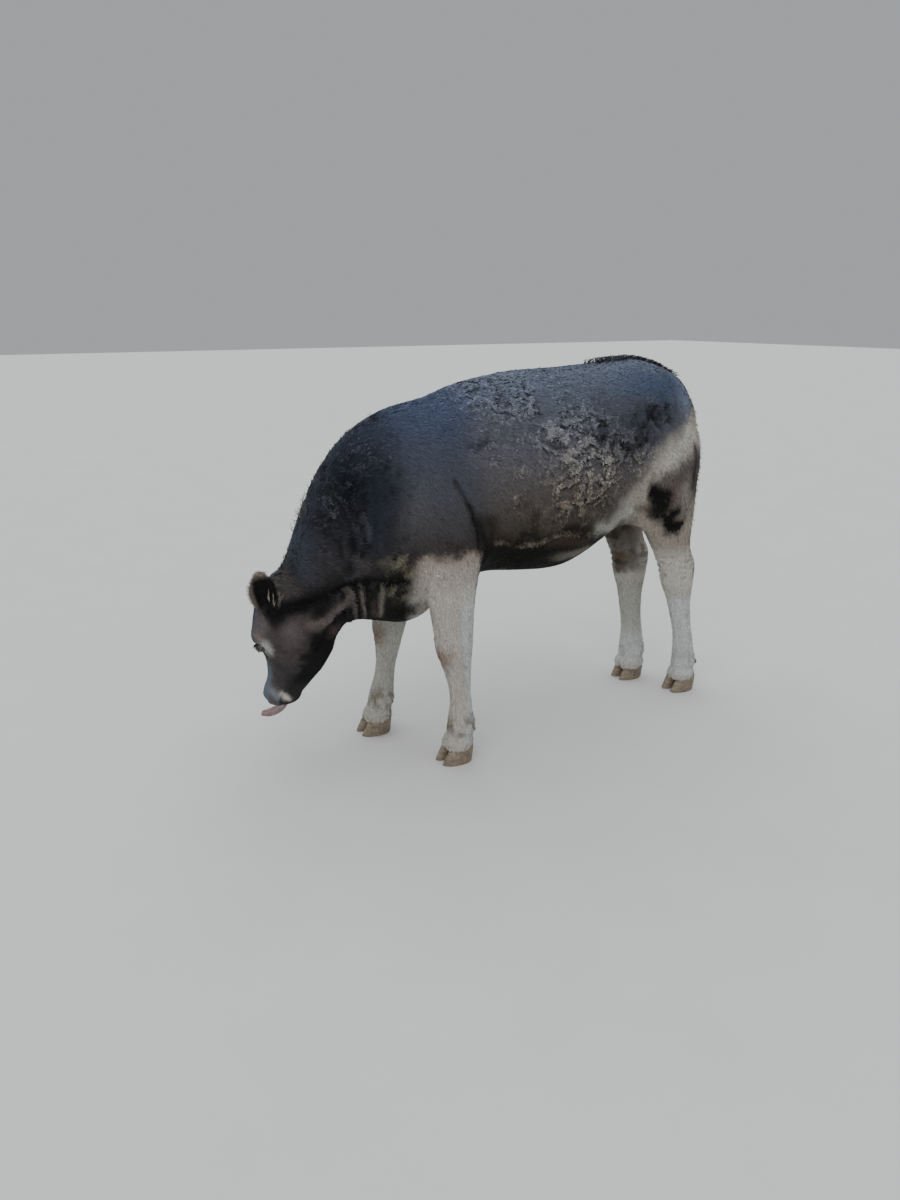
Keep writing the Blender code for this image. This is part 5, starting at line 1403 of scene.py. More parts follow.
# ---------------------------------------------------------------- materials
def material(name):
    paint = bpy.data.materials.new(name)
    paint.use_nodes = True
    tree = paint.node_tree
    return paint, tree, tree.nodes["Principled BSDF"]


def link(tree, a, b):
    tree.links.new(a, b)


def add(tree, kind, **values):
    node = tree.nodes.new(kind)
    for key, value in values.items():
        setattr(node, key, value)
    return node


def noise_node(tree, scale, detail=3, source=None, rough_by=0.55):
    node = add(tree, "ShaderNodeTexNoise")
    node.inputs["Scale"].default_value = scale
    node.inputs["Detail"].default_value = detail
    node.inputs["Roughness"].default_value = rough_by
    if source is not None:
        link(tree, source, node.inputs["Vector"])
    return node


def coat_material():
    paint, tree, shader = material("coat")
    colour = add(tree, "ShaderNodeVertexColor", layer_name="coat")
    strand = add(tree, "ShaderNodeUVMap", uv_map="strand")
    stretch = add(tree, "ShaderNodeMapping")
    stretch.inputs["Scale"].default_value = (9.0, 0.6, 1.0)
    link(tree, strand.outputs["UV"], stretch.inputs["Vector"])
    hairs = noise_node(tree, 1.0, 2, stretch.outputs["Vector"])
    spread = add(tree, "ShaderNodeMapRange")
    spread.inputs["From Min"].default_value = 0.3
    spread.inputs["From Max"].default_value = 0.7
    spread.inputs["To Min"].default_value = 0.72
    spread.inputs["To Max"].default_value = 1.22
    link(tree, hairs.outputs["Fac"], spread.inputs["Value"])
    by = add(tree, "ShaderNodeVectorMath", operation="SCALE")
    link(tree, colour.outputs["Color"], by.inputs[0])
    link(tree, spread.outputs["Result"], by.inputs["Scale"])
    link(tree, by.outputs["Vector"], shader.inputs["Base Color"])
    bump = add(tree, "ShaderNodeBump")
    bump.inputs["Strength"].default_value = 0.35
    bump.inputs["Distance"].default_value = 0.0006
    link(tree, hairs.outputs["Fac"], bump.inputs["Height"])
    link(tree, bump.outputs["Normal"], shader.inputs["Normal"])
    shader.inputs["Roughness"].default_value = 0.72
    shader.inputs["Specular IOR Level"].default_value = 0.14
    shader.inputs["Sheen Weight"].default_value = 0.03
    shader.inputs["Sheen Roughness"].default_value = 0.45
    return paint


def skin_material():
    paint, tree, shader = material("skin")
    colour = add(tree, "ShaderNodeVertexColor", layer_name="markings_and_painted_light")
    place = add(tree, "ShaderNodeTexCoord")
    hairs = noise_node(tree, 420, 3, place.outputs["Object"], 0.6)
    spread = add(tree, "ShaderNodeMapRange")
    spread.inputs["From Min"].default_value = 0.3
    spread.inputs["From Max"].default_value = 0.7
    spread.inputs["To Min"].default_value = 0.72
    spread.inputs["To Max"].default_value = 1.15
    link(tree, hairs.outputs["Fac"], spread.inputs["Value"])
    by = add(tree, "ShaderNodeVectorMath", operation="SCALE")
    link(tree, colour.outputs["Color"], by.inputs[0])
    link(tree, spread.outputs["Result"], by.inputs["Scale"])
    link(tree, by.outputs["Vector"], shader.inputs["Base Color"])
    bump = add(tree, "ShaderNodeBump")
    bump.inputs["Strength"].default_value = 0.5
    bump.inputs["Distance"].default_value = 0.0012
    link(tree, hairs.outputs["Fac"], bump.inputs["Height"])
    link(tree, bump.outputs["Normal"], shader.inputs["Normal"])
    gloss = add(tree, "ShaderNodeMapRange")
    gloss.inputs["To Min"].default_value = 0.62
    gloss.inputs["To Max"].default_value = 0.80
    link(tree, hairs.outputs["Fac"], gloss.inputs["Value"])
    link(tree, gloss.outputs["Result"], shader.inputs["Roughness"])
    shader.inputs["Specular IOR Level"].default_value = 0.3
    return paint


def eye_material():
    paint, tree, shader = material("eye")
    colour = add(tree, "ShaderNodeVertexColor", layer_name="iris")
    place = add(tree, "ShaderNodeTexCoord")
    grain = noise_node(tree, 900, 2, place.outputs["Object"])
    spread = add(tree, "ShaderNodeMapRange")
    spread.inputs["To Min"].default_value = 0.7
    spread.inputs["To Max"].default_value = 1.3
    link(tree, grain.outputs["Fac"], spread.inputs["Value"])
    by = add(tree, "ShaderNodeVectorMath", operation="SCALE")
    link(tree, colour.outputs["Color"], by.inputs[0])
    link(tree, spread.outputs["Result"], by.inputs["Scale"])
    link(tree, by.outputs["Vector"], shader.inputs["Base Color"])
    shader.inputs["Roughness"].default_value = 0.16
    shader.inputs["Specular IOR Level"].default_value = 0.3
    shader.inputs["Coat Weight"].default_value = 0.55
    shader.inputs["Coat Roughness"].default_value = 0.02
    return paint


def horn_material(name, light, dark):
    """Hoof horn: rings of growth and streaks down the wall."""
    paint, tree, shader = material(name)
    place = add(tree, "ShaderNodeTexCoord")
    turn = add(tree, "ShaderNodeMapping")
    turn.inputs["Scale"].default_value = (30.0, 30.0, 260.0)
    turn.inputs["Rotation"].default_value = (0, 0.26, 0)
    link(tree, place.outputs["Object"], turn.inputs["Vector"])
    rings = noise_node(tree, 1.0, 3, turn.outputs["Vector"])
    down = add(tree, "ShaderNodeMapping")
    down.inputs["Scale"].default_value = (420.0, 420.0, 18.0)
    link(tree, place.outputs["Object"], down.inputs["Vector"])
    streaks = noise_node(tree, 1.0, 3, down.outputs["Vector"])
    blend = add(tree, "ShaderNodeMath", operation="ADD")
    link(tree, rings.outputs["Fac"], blend.inputs[0])
    link(tree, streaks.outputs["Fac"], blend.inputs[1])
    ramp = add(tree, "ShaderNodeValToRGB")
    ramp.color_ramp.elements[0].position = 0.36
    ramp.color_ramp.elements[0].color = (*dark, 1)
    ramp.color_ramp.elements[1].position = 0.66
    ramp.color_ramp.elements[1].color = (*light, 1)
    halve = add(tree, "ShaderNodeMath", operation="MULTIPLY")
    halve.inputs[1].default_value = 0.5
    link(tree, blend.outputs["Value"], halve.inputs[0])
    link(tree, halve.outputs["Value"], ramp.inputs["Fac"])
    link(tree, ramp.outputs["Color"], shader.inputs["Base Color"])
    bump = add(tree, "ShaderNodeBump")
    bump.inputs["Strength"].default_value = 0.5
    bump.inputs["Distance"].default_value = 0.0015
    link(tree, blend.outputs["Value"], bump.inputs["Height"])
    link(tree, bump.outputs["Normal"], shader.inputs["Normal"])
    shader.inputs["Roughness"].default_value = 0.48
    return paint


def tongue_material():
    paint, tree, shader = material("tongue")
    place = add(tree, "ShaderNodeTexCoord")
    grain = noise_node(tree, 60, 3, place.outputs["Object"])
    ramp = add(tree, "ShaderNodeValToRGB")
    ramp.color_ramp.elements[0].position = 0.35
    ramp.color_ramp.elements[0].color = (*tone(104, 77, 77), 1)
    ramp.color_ramp.elements[1].position = 0.70
    ramp.color_ramp.elements[1].color = (*tone(134, 105, 104), 1)
    link(tree, grain.outputs["Fac"], ramp.inputs["Fac"])
    link(tree, ramp.outputs["Color"], shader.inputs["Base Color"])
    dots = add(tree, "ShaderNodeTexVoronoi")
    dots.inputs["Scale"].default_value = 700
    link(tree, place.outputs["Object"], dots.inputs["Vector"])
    bump = add(tree, "ShaderNodeBump")
    bump.inputs["Strength"].default_value = 0.4
    bump.inputs["Distance"].default_value = 0.0008
    bump.invert = True
    link(tree, dots.outputs["Distance"], bump.inputs["Height"])
    link(tree, bump.outputs["Normal"], shader.inputs["Normal"])
    shader.inputs["Roughness"].default_value = 0.35
    shader.inputs["Subsurface Weight"].default_value = 0.1
    shader.inputs["Subsurface Scale"].default_value = 0.01
    shader.inputs["Coat Weight"].default_value = 0.4
    shader.inputs["Coat Roughness"].default_value = 0.15
    return paint


COAT = coat_material()

# ---------------------------------------------------------------- make the skin
skin = finish_skin(build_skin())
FLESH = ["head", "neck", "trunk", "foreleg_left", "foreleg_right", "hindleg_left", "hindleg_right", "tail", "ear_left", "ear_right"]
spread = Scatter(skin.data)
store_colour(skin.data, "markings_and_painted_light", markings_and_painted_light(spread.co, spread.normal) * 0.80)
skin.data.materials.clear()
skin.data.materials.append(skin_material())

# ---------------------------------------------------------------- the coat
centre = spread.centre
fn = spread.face_normal
EARS, EAR_ALONG, EAR_ACROSS, _ = ear_share(centre)
TAILS, HEADS = tail_share(centre), head_share(centre)
hc = head_places(centre)
LOW = ease(0.66, 0.54, centre[:, 2]) * (centre[:, 0] > -0.33) * np.maximum((centre[:, 0] < 0.14) * (np.abs(centre[:, 1]) > 0.08), centre[:, 0] > 0.62)
soles = toe_plane(centre)[0] < 0.003
bare = np.zeros(len(centre))
for middle, way, back, top in EYES.values():
    bare = np.maximum(bare, (np.linalg.norm(centre - middle, axis=1) < 0.0215) * 1.0)
side_h = hc.copy()
side_h[:, 2] = np.abs(hc[:, 2])
bare = np.maximum(bare, HEADS * (ease(0.342, 0.350, hc[:, 0] - 0.25 * np.clip(hc[:, 1] - 0.055, 0, 1)) * (hc[:, 1] < 0.080)))
bare = np.maximum(bare, HEADS * (blob(side_h, (0.353, 0.040, 0.035), (0.017, 0.010, 0.014), 3) > 0.4))
bare = np.maximum(bare, 1.0 * (blob(centre, (0.795, 0, 0.680), (0.060, 0.05, 0.025), 4) > 0.4))
bare = np.maximum(bare, 1.0 * soles)
MAT = matted(centre)

# coat of the body and neck: short and smooth, but matted in places
body_share = (1 - HEADS) * (1 - EARS) * (1 - TAILS) * (1 - LOW) * (1 - bare)
p, n, rng = spread.pick(88000 * body_share, 101)
mat = matted(p)
swirl = 0.22 * rough(p, 0.09, 61, 2) + 0.16 * noise(p, 0.022, 65) + rng.normal(0, 0.13, len(p)) + mat * 1.6 * noise(p, 0.020, 62)
way = turned(lie(p, n), n, swirl)
tufts("coat_body", p, n, way, mixed(0.0150, 0.0125, mat), mixed(0.0027, 0.0030, mat), mixed(0.0021, 0.0036, mat), rng, markings_and_painted_light(p, n), "trunk", paths=2, spread=0.35, sink=0.0008, fade=(0.86, 1.08))

# short coat of the legs
p, n, rng = spread.pick(72000 * LOW * (1 - bare) * (1 - TAILS) * (1 - HEADS), 102)
way = turned(lie(p, n), n, 0.25 * rough(p, 0.04, 63, 2) + rng.normal(0, 0.16, len(p)))
tufts("coat_legs", p, n, way, 0.0125, 0.0024, 0.0022, rng, markings_and_painted_light(p, n), "foreleg_left", paths=2, spread=0.35, sink=0.0006, fade=(0.86, 1.08))

# short coat of the head, finest on the muzzle
small = ease(0.20, 0.32, hc[:, 0])
p, n, rng = spread.pick((110000 + 90000 * small) * HEADS * (1 - bare) * (1 - EARS), 103)
hp = head_places(p)
small = ease(0.20, 0.32, hp[:, 0])
way = turned(lie(p, n), n, 0.20 * rough(p, 0.03, 64, 2) + rng.normal(0, 0.18, len(p)))
tufts("coat_head", p, n, way, mixed(0.0095, 0.0050, small), mixed(0.0019, 0.0013, small), mixed(0.0016, 0.0008, small), rng, markings_and_painted_light(p, n), "head", paths=2, spread=0.35, sink=0.0005, fade=(0.86, 1.10))

# tail above the switch, and the ears
p, n, rng = spread.pick(80000 * TAILS * (1 - HEADS), 104)
tufts("coat_tail", p, n, turned(lie(p, n), n, rng.normal(0, 0.15, len(p))), 0.020, 0.0030, 0.0030, rng, markings_and_painted_light(p, n), "tail", paths=3, spread=0.4)
p, n, rng = spread.pick(150000 * EARS, 105)
tufts("coat_ears", p, n, turned(lie(p, n), n, rng.normal(0, 0.22, len(p))), 0.0105, 0.0016, 0.0018, rng, markings_and_painted_light(p, n), "ear_left", paths=2, spread=0.4, sink=0.0004)


def special(name, density, seed, slot, make, **kind):
    p, n, rng = spread.pick(density, seed)
    length, width, lift, angle, colour = make(p, n, rng)
    way = turned(lie(p, n), n, angle)
    return tufts(name, p, n, way, length, width, lift, rng, colour, slot, **kind)


left_c = centre.copy()
left_c[:, 1] = -np.abs(centre[:, 1])
up_n = fn[:, 2]

# matted locks, short and thick, along the crests of the ridges
p, n, rng = spread.pick(52000 * MAT * body_share, 111)
keep = rng.random(len(p)) < ease(0.0, 0.5, curls(p))
p, n = p[keep], n[keep]
slope = np.column_stack([curls(p + step) - curls(p - step) for step in np.eye(3) * 0.0025])
slope = slope - (slope * n).sum(axis=1)[:, None] * n
crest_way = unit(np.cross(n, slope) + 1e-6)
crest_way = crest_way * np.sign((crest_way * lie(p, n)).sum(axis=1))[:, None]
way = turned(unit(crest_way + 0.35 * lie(p, n)), n, rng.normal(0, 0.25, len(p)))
tufts("coat_curls", p, n, way, 0.0150, 0.0056, 0.0046, rng, markings_and_painted_light(p, n) * (1.06 + 0.30 * np.clip(rng.normal(0, 1, len(p)), -1.4, 1.4))[:, None], "trunk", paths=3, roof=0.30, curl=0.16, spread=0.35, droop=0.15, sink=0.0022, fade=(0.72, 1.12))
# crest of the neck: tufts tinted pale bluish, paler at their tips, as painted backlight
crest = body_share * ease(0.55, 0.85, up_n * 0.6 - fn[:, 0] * 0.8) * ease(-0.12, -0.22, centre[:, 0]) * (np.abs(centre[:, 1] - 0.02) < 0.06)
special(
    "coat_mane",
    15000 * crest * (0.15 + ease(0.1, 0.5, rough(centre, 0.05, 66, 2))) * (np.abs(centre[:, 1] - 0.02) < 0.04),
    112,
    "neck",
    lambda p, n, rng: (0.017, 0.0026, 0.0055, rng.normal(0, 0.5, len(p)), mixed(markings_and_painted_light(p, n), tone(110, 114, 122), 0.20 + 0 * p[:, 0])),
    paths=4,
    roof=0.25,
    curl=0.30,
    spread=0.8,
    droop=1.0,
    fade=(0.6, 1.35),
)
# a few longer, paler locks that stand off the crest, halfway down
special(
    "coat_nape",
    15000 * crest * blob(centre, (-0.432, 0.015, 0.800), (0.040, 0.060, 0.052), 2) * np.exp(-(((centre[:, 1] - 0.034) / 0.016) ** 2)),
    123,
    "neck",
    lambda p, n, rng: (0.026, 0.0028, 0.0125, rng.normal(0, 0.6, len(p)), mixed(markings_and_painted_light(p, n), seen(118, 110, 94), 0.45 + 0 * p[:, 0])),
    paths=4,
    roof=0.25,
    curl=0.30,
    spread=0.9,
    droop=1.1,
    fade=(0.55, 1.25),
)
# dark ridge along the top of the rump
ridge = body_share * ease(0.53, 0.60, centre[:, 0]) * ease(0.95, 0.88, centre[:, 0]) * np.exp(-(((centre[:, 1] + 0.004) / 0.013) ** 2)) * (up_n > 0.4)
special(
    "coat_ridge",
    60000 * ridge,
    113,
    "trunk",
    lambda p, n, rng: (0.022, 0.0040, 0.0120, rng.normal(0, 0.7, len(p)), mixed(markings_and_painted_light(p, n), seen(26, 21, 20), 0.85 + 0 * p[:, 0])),
    paths=4,
    roof=0.25,
    curl=0.35,
    spread=0.8,
    droop=1.0,
)
# fringe along the belly
fringe = body_share * near_line(left_c, [(0.095, -0.186, 0.702), (0.178, -0.185, 0.676), (0.242, -0.196, 0.680), (0.287, -0.210, 0.700), (0.364, -0.211, 0.698), (0.430, -0.195, 0.678)], 0.0085)
special(
    "coat_belly_fringe",
    52000 * fringe,
    114,
    "trunk",
    lambda p, n, rng: (0.0170, 0.0045, 0.0070, rng.normal(0, 0.5, len(p)), markings_and_painted_light(p, n)),
    paths=3,
    roof=0.25,
    curl=0.25,
    spread=0.6,
    droop=0.9,
    fade=(0.6, 1.3),
)
# thin pale hair that stands off the back of the thighs and the rear edge; the paleness is painted rim light
rear = body_share * ease(0.35, 0.75, fn[:, 0]) * ease(0.70, 0.78, centre[:, 0]) * ease(0.62, 0.70, centre[:, 2]) * ease(1.12, 1.02, centre[:, 2])
special(
    "coat_thigh_fringe",
    9000 * rear,
    115,
    "trunk",
    lambda p, n, rng: (0.016, 0.0022, 0.0060, rng.normal(0, 0.35, len(p)), mixed(markings_and_painted_light(p, n), seen(140, 134, 122), 0.35 + 0 * p[:, 0])),
    paths=3,
    curl=0.12,
    spread=1.0,
    droop=1.2,
    fade=(0.8, 1.3),
)
# poll
poll = HEADS * blob(hc, (-0.005, 0.005, 0.0), (0.045, 0.035, 0.050), 3) * (1 - EARS)
special(
    "coat_poll",
    60000 * poll,
    116,
    "head",
    lambda p, n, rng: (0.022, 0.0030, 0.0060, rng.normal(0, 0.8, len(p)), markings_and_painted_light(p, n)),
    paths=4,
    roof=0.2,
    curl=0.35,
    spread=0.6,
    droop=0.9,
    fade=(0.7, 1.25),
)
# hair over the coronets and behind the pasterns
cor = toe_plane(centre)[0]
coronet = LOW * (1 - bare) * ease(0.020, 0.006, cor) * (cor > 0.002)
special(
    "coat_coronet",
    150000 * coronet,
    117,
    "foreleg_left",
    lambda p, n, rng: (0.0150, 0.0022, 0.0030, rng.normal(0, 0.2, len(p)), markings_and_painted_light(p, n)),
    paths=3,
    spread=0.4,
    fade=(0.9, 1.05),
)
pastern = LOW * (1 - bare) * ease(0.15, 0.13, centre[:, 2]) * ease(0.065, 0.08, centre[:, 2]) * ease(0.2, 0.8, fn[:, 0])
special(
    "coat_fetlock",
    60000 * pastern,
    118,
    "foreleg_left",
    lambda p, n, rng: (0.024, 0.0028, 0.0060, rng.normal(0, 0.3, len(p)), mixed(markings_and_painted_light(p, n), seen(140, 134, 122), 0.4 + 0 * p[:, 0])),
    paths=4,
    curl=0.10,
    spread=0.6,
)
# rim and inside of the ears
rim = EARS * np.maximum.reduce([ease(0.72, 0.90, -EAR_ACROSS), 0.18 * ease(0.84, 0.95, EAR_ACROSS), ease(0.86, 0.95, EAR_ALONG)]) * ease(0.26, 0.40, EAR_ALONG)


def rim_way(p, n, rng):
    share, along, across_by, depth = ear_share(p)
    out = np.zeros_like(p)
    for s in (1, -1):
        base, tip_way, front, across = ear_frame(s)
        close = np.linalg.norm(p - (base + tip_way * EAR_LENGTH * 0.5), axis=1) < 0.125
        w = tip_way * 0.75 + across * np.sign(across_by)[:, None] * (0.75 * ease(1.0, 0.8, along))[:, None] + front * 0.15
        out = np.where(close[:, None], w, out)
    return unit(out + rng.normal(0, 0.16, p.shape))


p, n, rng = spread.pick(260000 * rim, 119)
tufts("coat_ear_rim", p, n, rim_way(p, n, rng), 0.0150, 0.0015, 0.0004, rng, mixed(markings_and_painted_light(p, n), tone(176, 170, 158), 0.75 + 0 * p[:, 0]), "ear_left", paths=3, curl=0.10, spread=1.2, fade=(0.7, 1.2))
inner_face = np.zeros(len(centre))
for s in (1, -1):
    base, tip_way, front, across = ear_frame(s)
    close = np.linalg.norm(centre - (base + tip_way * EAR_LENGTH * 0.5), axis=1) < 0.125
    inner_face = np.where(close, fn @ front, inner_face)
inner = EARS * ease(0.3, 0.7, inner_face) * ease(0.50, 0.42, EAR_ALONG) * ease(0.16, 0.24, EAR_ALONG) * (np.exp(-(((EAR_ACROSS - 0.28) / 0.05) ** 2)) + 0.6 * np.exp(-(((EAR_ACROSS - 0.62) / 0.04) ** 2)))
p, n, rng = spread.pick(110000 * inner, 120)
tufts("coat_ear_inner", p, n, unit(lie(p, n) + 0.12 * n), 0.030, 0.0015, 0.0040, rng, np.tile(tone(176, 164, 148), (len(p), 1)), "ear_left", paths=4, curl=0.03, spread=0.4, droop=0.8, fade=(0.7, 1.15))

# switch of the tail: long locks round its end
rng = np.random.default_rng(121)
count = int(2600 * SHARE)
heights = rng.uniform(0.478, 0.690, count)
tx = np.interp(heights, [z for _, z, _, _ in TAIL[::-1]], [x for x, _, _, _ in TAIL[::-1]])
tr = np.interp(heights, [z for _, z, _, _ in TAIL[::-1]], [w for _, _, w, _ in TAIL[::-1]]) - 0.004
angle = rng.uniform(0, 2 * math.pi, count)
ring = np.column_stack([np.cos(angle), np.sin(angle), 0 * angle])
p = np.column_stack([tx, 0 * tx, heights]) + ring * tr[:, None]
swell = 0.021 * np.exp(-(((heights - 0.56) / 0.07) ** 2)) * rng.uniform(0.35, 1.0, count)
lengths = np.clip(heights - 0.382, 0.03, 0.150) * rng.uniform(0.75, 1.0, count) / 1.2
tufts("coat_switch", p, ring, np.tile((0.0, 0, -1.0), (count, 1)), lengths, 0.0060, swell + 0.002, rng, markings_and_painted_light(p, ring) * (0.75 + 0.45 * ease(0.62, 0.42, heights))[:, None], "tail", paths=5, roof=0.2, curl=0.06, spread=0.8, droop=rng.uniform(0.2, 0.9, count), fade=(0.8, 1.15))

# lashes of the upper lids
lash_p, lash_n, lash_w = [], [], []
for name, (middle, way, back, top) in EYES.items():
    for k in range(46):
        t = -0.92 + 1.84 * k / 45
        bu = t * LID_BACK
        bv = LID_UP * max(1 - abs(t) ** 2.2, 0) ** 0.5 * 1.06 - 0.10 * bu
        a = math.hypot(bu, bv) / EYE_RADIUS
        flat = unit(back * bu + top * bv)
        out_way = way * math.cos(a) + flat * math.sin(a)
        lash_p.append(middle + out_way * (EYE_RADIUS + 0.0012))
        lash_n.append(top)
        lash_w.append(unit(out_way * 0.9 - top * 0.25 + back * 0.25 * t))
rng = np.random.default_rng(122)
tufts("lashes", np.array(lash_p), np.array(lash_n), np.array(lash_w), 0.0075, 0.0006, 0.0015, rng, np.tile(tone(26, 22, 21), (len(lash_p), 1)), "head", paths=4, spread=0.2, droop=1.0, fade=(0.9, 1.0))


# ---------------------------------------------------------------- the skin rides for the flesh
set_points(skin.data, spread.co + MOVE)
skin.name = "skin"
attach(skin, "root")
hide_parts(*FLESH)

# ---------------------------------------------------------------- eyes
paint = eye_material()
for name, (middle, way, back, top) in EYES.items():
    eye = ball(f"eyeball_{name}", (0, 0, 0), (1, 1, 1), fine=(64, 48))
    co = points_of(eye.data)
    # z of the ball looks out of the socket
    q = co[:, [2]] * way + co[:, [0]] * back + co[:, [1]] * top
    u, v, w = co[:, 0], co[:, 1], co[:, 2]
    bulge = 1 + 0.085 * ease(0.62, 1.0, w)
    radius = (EYE_RADIUS - 0.0005) * bulge
    colour = np.tile(tone(64, 54, 50), (len(co), 1))
    colour = mixed(colour, tone(26, 19, 15), ease(0.40, 0.50, w))
    colour = mixed(colour, tone(36, 26, 19), ease(0.62, 0.75, w) * 0.6)
    pupil = np.sqrt((u / 0.46) ** 2 + (v / 0.26) ** 2)
    colour = mixed(colour, tone(10, 10, 14), ease(1.15, 0.95, pupil) * (w > 0))
    set_points(eye.data, middle + q * radius[:, None] + MOVE)
    store_colour(eye.data, "iris", colour)
    work = bmesh.new()
    work.from_mesh(eye.data)
    bmesh.ops.recalc_face_normals(work, faces=work.faces)
    work.to_mesh(eye.data)
    work.free()
    eye.data.shade_smooth()
    eye.data.materials.append(paint)
    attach(eye, "root")
    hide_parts(f"eye_{name}")

# ---------------------------------------------------------------- hooves and dewclaws
HORN = horn_material("hoof horn", tone(150, 136, 116), tone(84, 72, 60))
DEW = horn_material("dewclaw horn", tone(120, 106, 90), tone(66, 56, 48))


def claw(name, foot, way):
    x, y = foot_place(foot)
    heel, toe, half = 0.040, 0.058, 0.0235
    middle = y + way * 0.0250
    levels = [
        (0.0000, 0.000, toe - 0.001, heel - 0.001, half - 0.0008),
        (0.0025, 0.0003, toe, heel, half),
        (0.0150, 0.003, toe - 0.004, heel, half),
        (0.0350, 0.008, toe - 0.011, heel - 0.002, half - 0.0010),
        (0.0500, 0.0125, toe - 0.017, heel - 0.005, half - 0.0018),
        (0.0560, 0.014, toe - 0.020, heel - 0.007, half - 0.0030),
    ]
    rings = []
    for z, back, before, behind, width in levels:
        ring = oval((x + back, middle, z), (0, 1, 0), (1, 0, 0), width, behind, before, 2.2, 2.0, 40)
        # flat wall towards the other claw, toe turned a little in
        inward = -way
        flat = ring[:, 1] - middle
        inner = flat * inward > 0
        ring[inner, 1] = middle + flat[inner] * 0.94
        fwd = np.clip((x - ring[:, 0]) / toe, 0, 1)
        ring[:, 1] += inward * 0.0035 * fwd**2
        rings.append(ring)
    thing = tube(name, rings, steps=3)
    co = points_of(thing.data)
    up = unit((-0.26, 0, 0.966))
    d = (co - np.array([x, y, 0.050])) @ up
    over = d > -0.0006
    co[over] -= (d[over] + 0.0006)[:, None] * up
    grow = 0.0005 * np.sin((co[:, 2] - 0.26 * (x - co[:, 0])) / 0.0062 * 2 * math.pi) * ease(0.003, 0.010, co[:, 2]) * ease(0.054, 0.046, co[:, 2])
    flat = np.column_stack([co[:, 0] - x - 0.008, co[:, 1] - middle, 0 * co[:, 0]])
    co += unit(flat) * grow[:, None]
    set_points(thing.data, co + MOVE)
    return thing


def dewclaw(name, foot, way):
    x, y = foot_place(foot)
    middle = np.array((x + 0.050, y + way * 0.022, 0.104))
    tip_way = unit((0.62, way * 0.10, -0.78))
    side = unit(np.cross(tip_way, (1, 0, 0.5)))
    up = np.cross(side, tip_way)
    rings = []
    for t, half in ((-0.6, 0.0082), (-0.2, 0.0096), (0.2, 0.0088), (0.6, 0.0062), (0.9, 0.0034)):
        rings.append(oval(middle + tip_way * t * 0.0125, side, up, half, half * 0.9, half * 0.9, count=20))
    thing = tube(name, rings, first=0.003, last=0.0015, steps=3)
    set_points(thing.data, points_of(thing.data) + MOVE)
    return thing


for foot in FEET:
    for way, which in ((-1, "outer" if FEET[foot][0] < 0 else "inner"), (1, "inner" if FEET[foot][0] < 0 else "outer")):
        for make, kind, paint in ((claw, "claw", HORN), (dewclaw, "dewclaw", DEW)):
            node = f"{kind}_{foot}_{which}"
            thing = make("horn_" + node, foot, way)
            thing.data.shade_smooth()
            thing.data.materials.append(paint)
            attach(thing, "root")
            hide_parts(node)

# ---------------------------------------------------------------- tongue
path = [
    (0.330, 0.078, 0.002, 0.0165, 0.0078, 0),
    (0.372, 0.080, 0.002, 0.0186, 0.0085, -2),
    (0.400, 0.070, 0.002, 0.0197, 0.0085, -14),
    (0.425, 0.050, 0.003, 0.0188, 0.0077, -22),
    (0.446, 0.027, 0.004, 0.0158, 0.0064, -25),
    (0.460, 0.004, 0.005, 0.0097, 0.0046, -26),
]
places = [in_head(a, d, w) for a, d, w, _, _, _ in path]
rings = []
for i, (_, _, _, half, thick, roll) in enumerate(path):
    way = unit(places[min(i + 1, len(places) - 1)] - places[max(i - 1, 0)])
    flat = unit(np.cross(way, LEFT))
    c, s = math.cos(math.radians(roll)), math.sin(math.radians(roll))
    side, up = c * LEFT + s * flat, c * flat - s * LEFT
    ring = oval(places[i], side, up, half, thick, thick, count=32)
    # a shallow groove along the middle
    across = (ring - places[i]) @ side
    over = (ring - places[i]) @ up
    ring -= up * (0.0018 * np.exp(-((across / 0.004) ** 2)) * (np.abs(over) > thick * 0.5) * np.sign(over))[:, None]
    rings.append(ring)
lick = tube("tongue_wet", rings, first=0.004, last=0.004, steps=6)
co = points_of(lick.data)
set_points(lick.data, co + MOVE)
lick.data.shade_smooth()
lick.data.materials.append(tongue_material())
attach(lick, "root")
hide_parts("tongue")


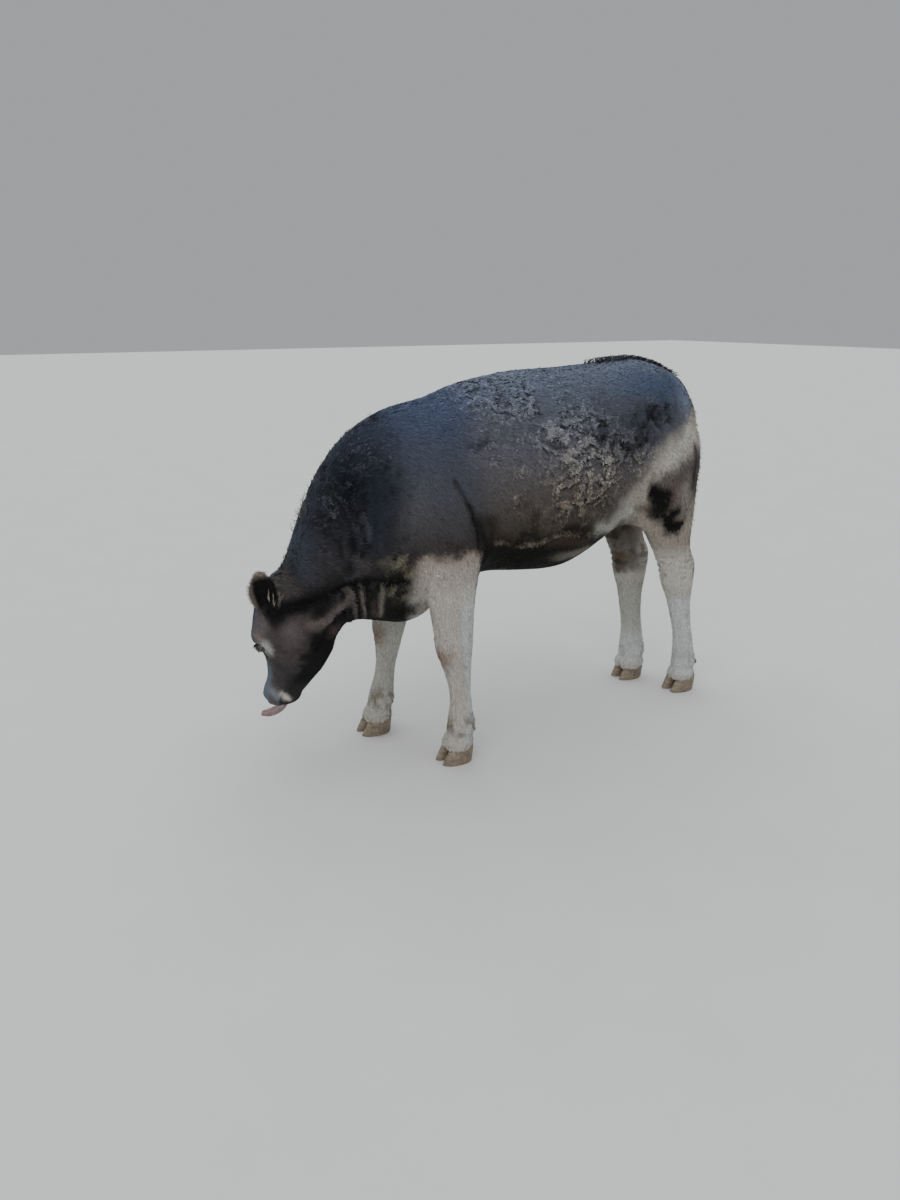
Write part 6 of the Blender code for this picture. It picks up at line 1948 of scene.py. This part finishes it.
# ---------------------------------------------------------------- floor, lights, camera
def floor_material():
    paint, tree, shader = material("floor")
    place = add(tree, "ShaderNodeTexCoord")
    grain = noise_node(tree, 3, 4, place.outputs["Object"])
    ramp = add(tree, "ShaderNodeValToRGB")
    ramp.color_ramp.elements[0].color = (0.52, 0.52, 0.50, 1)
    ramp.color_ramp.elements[1].color = (0.58, 0.58, 0.56, 1)
    link(tree, grain.outputs["Fac"], ramp.inputs["Fac"])
    link(tree, ramp.outputs["Color"], shader.inputs["Base Color"])
    shader.inputs["Roughness"].default_value = 0.9
    return paint


mesh = bpy.data.meshes.new("floor")
work = bmesh.new()
bmesh.ops.create_grid(work, x_segments=1, y_segments=1, size=30)
work.to_mesh(mesh)
work.free()
floor = placed("floor", mesh)
floor.data.materials.append(floor_material())

world = bpy.data.worlds.new("studio")
bpy.context.scene.world = world
world.use_nodes = True
world.node_tree.nodes["Background"].inputs["Color"].default_value = (0.88, 0.91, 0.96, 1)
world.node_tree.nodes["Background"].inputs["Strength"].default_value = 0.45


def lamp(name, place, aim, strength, softness, colour=(1, 1, 1)):
    """A wide soft light, as even over the floor as over the animal."""
    light = bpy.data.lights.new(name, "SUN")
    light.angle = softness
    light.energy = strength
    light.color = colour
    thing = bpy.data.objects.new(name, light)
    bpy.context.scene.collection.objects.link(thing)
    thing.location = place
    thing.rotation_euler = (Vector(aim) - Vector(place)).to_track_quat("-Z", "Y").to_euler()


lamp("sky", (0.3, 1.0, 4.2), (0, 0, 0.6), 3.0, 1.9, (0.94, 0.97, 1.0))
lamp("key", (-2.6, -2.4, 2.6), (0, 0, 0.7), 0.85, 0.9, (1.0, 0.98, 0.95))

camera = bpy.data.cameras.new("camera")
camera.lens = 27
camera.sensor_width = 36
camera.sensor_fit = "AUTO"
camera.clip_end = 100
shot = bpy.data.objects.new("camera", camera)
bpy.context.scene.collection.objects.link(shot)
shot.location = (-1.5728, -2.332, 1.35)
shot.rotation_euler = (math.radians(72.14), 0, math.radians(-31))
bpy.context.scene.camera = shot

print("skin triangles", len(skin.data.polygons))
print("coat", sum(c for _, c in BUILT), BUILT)
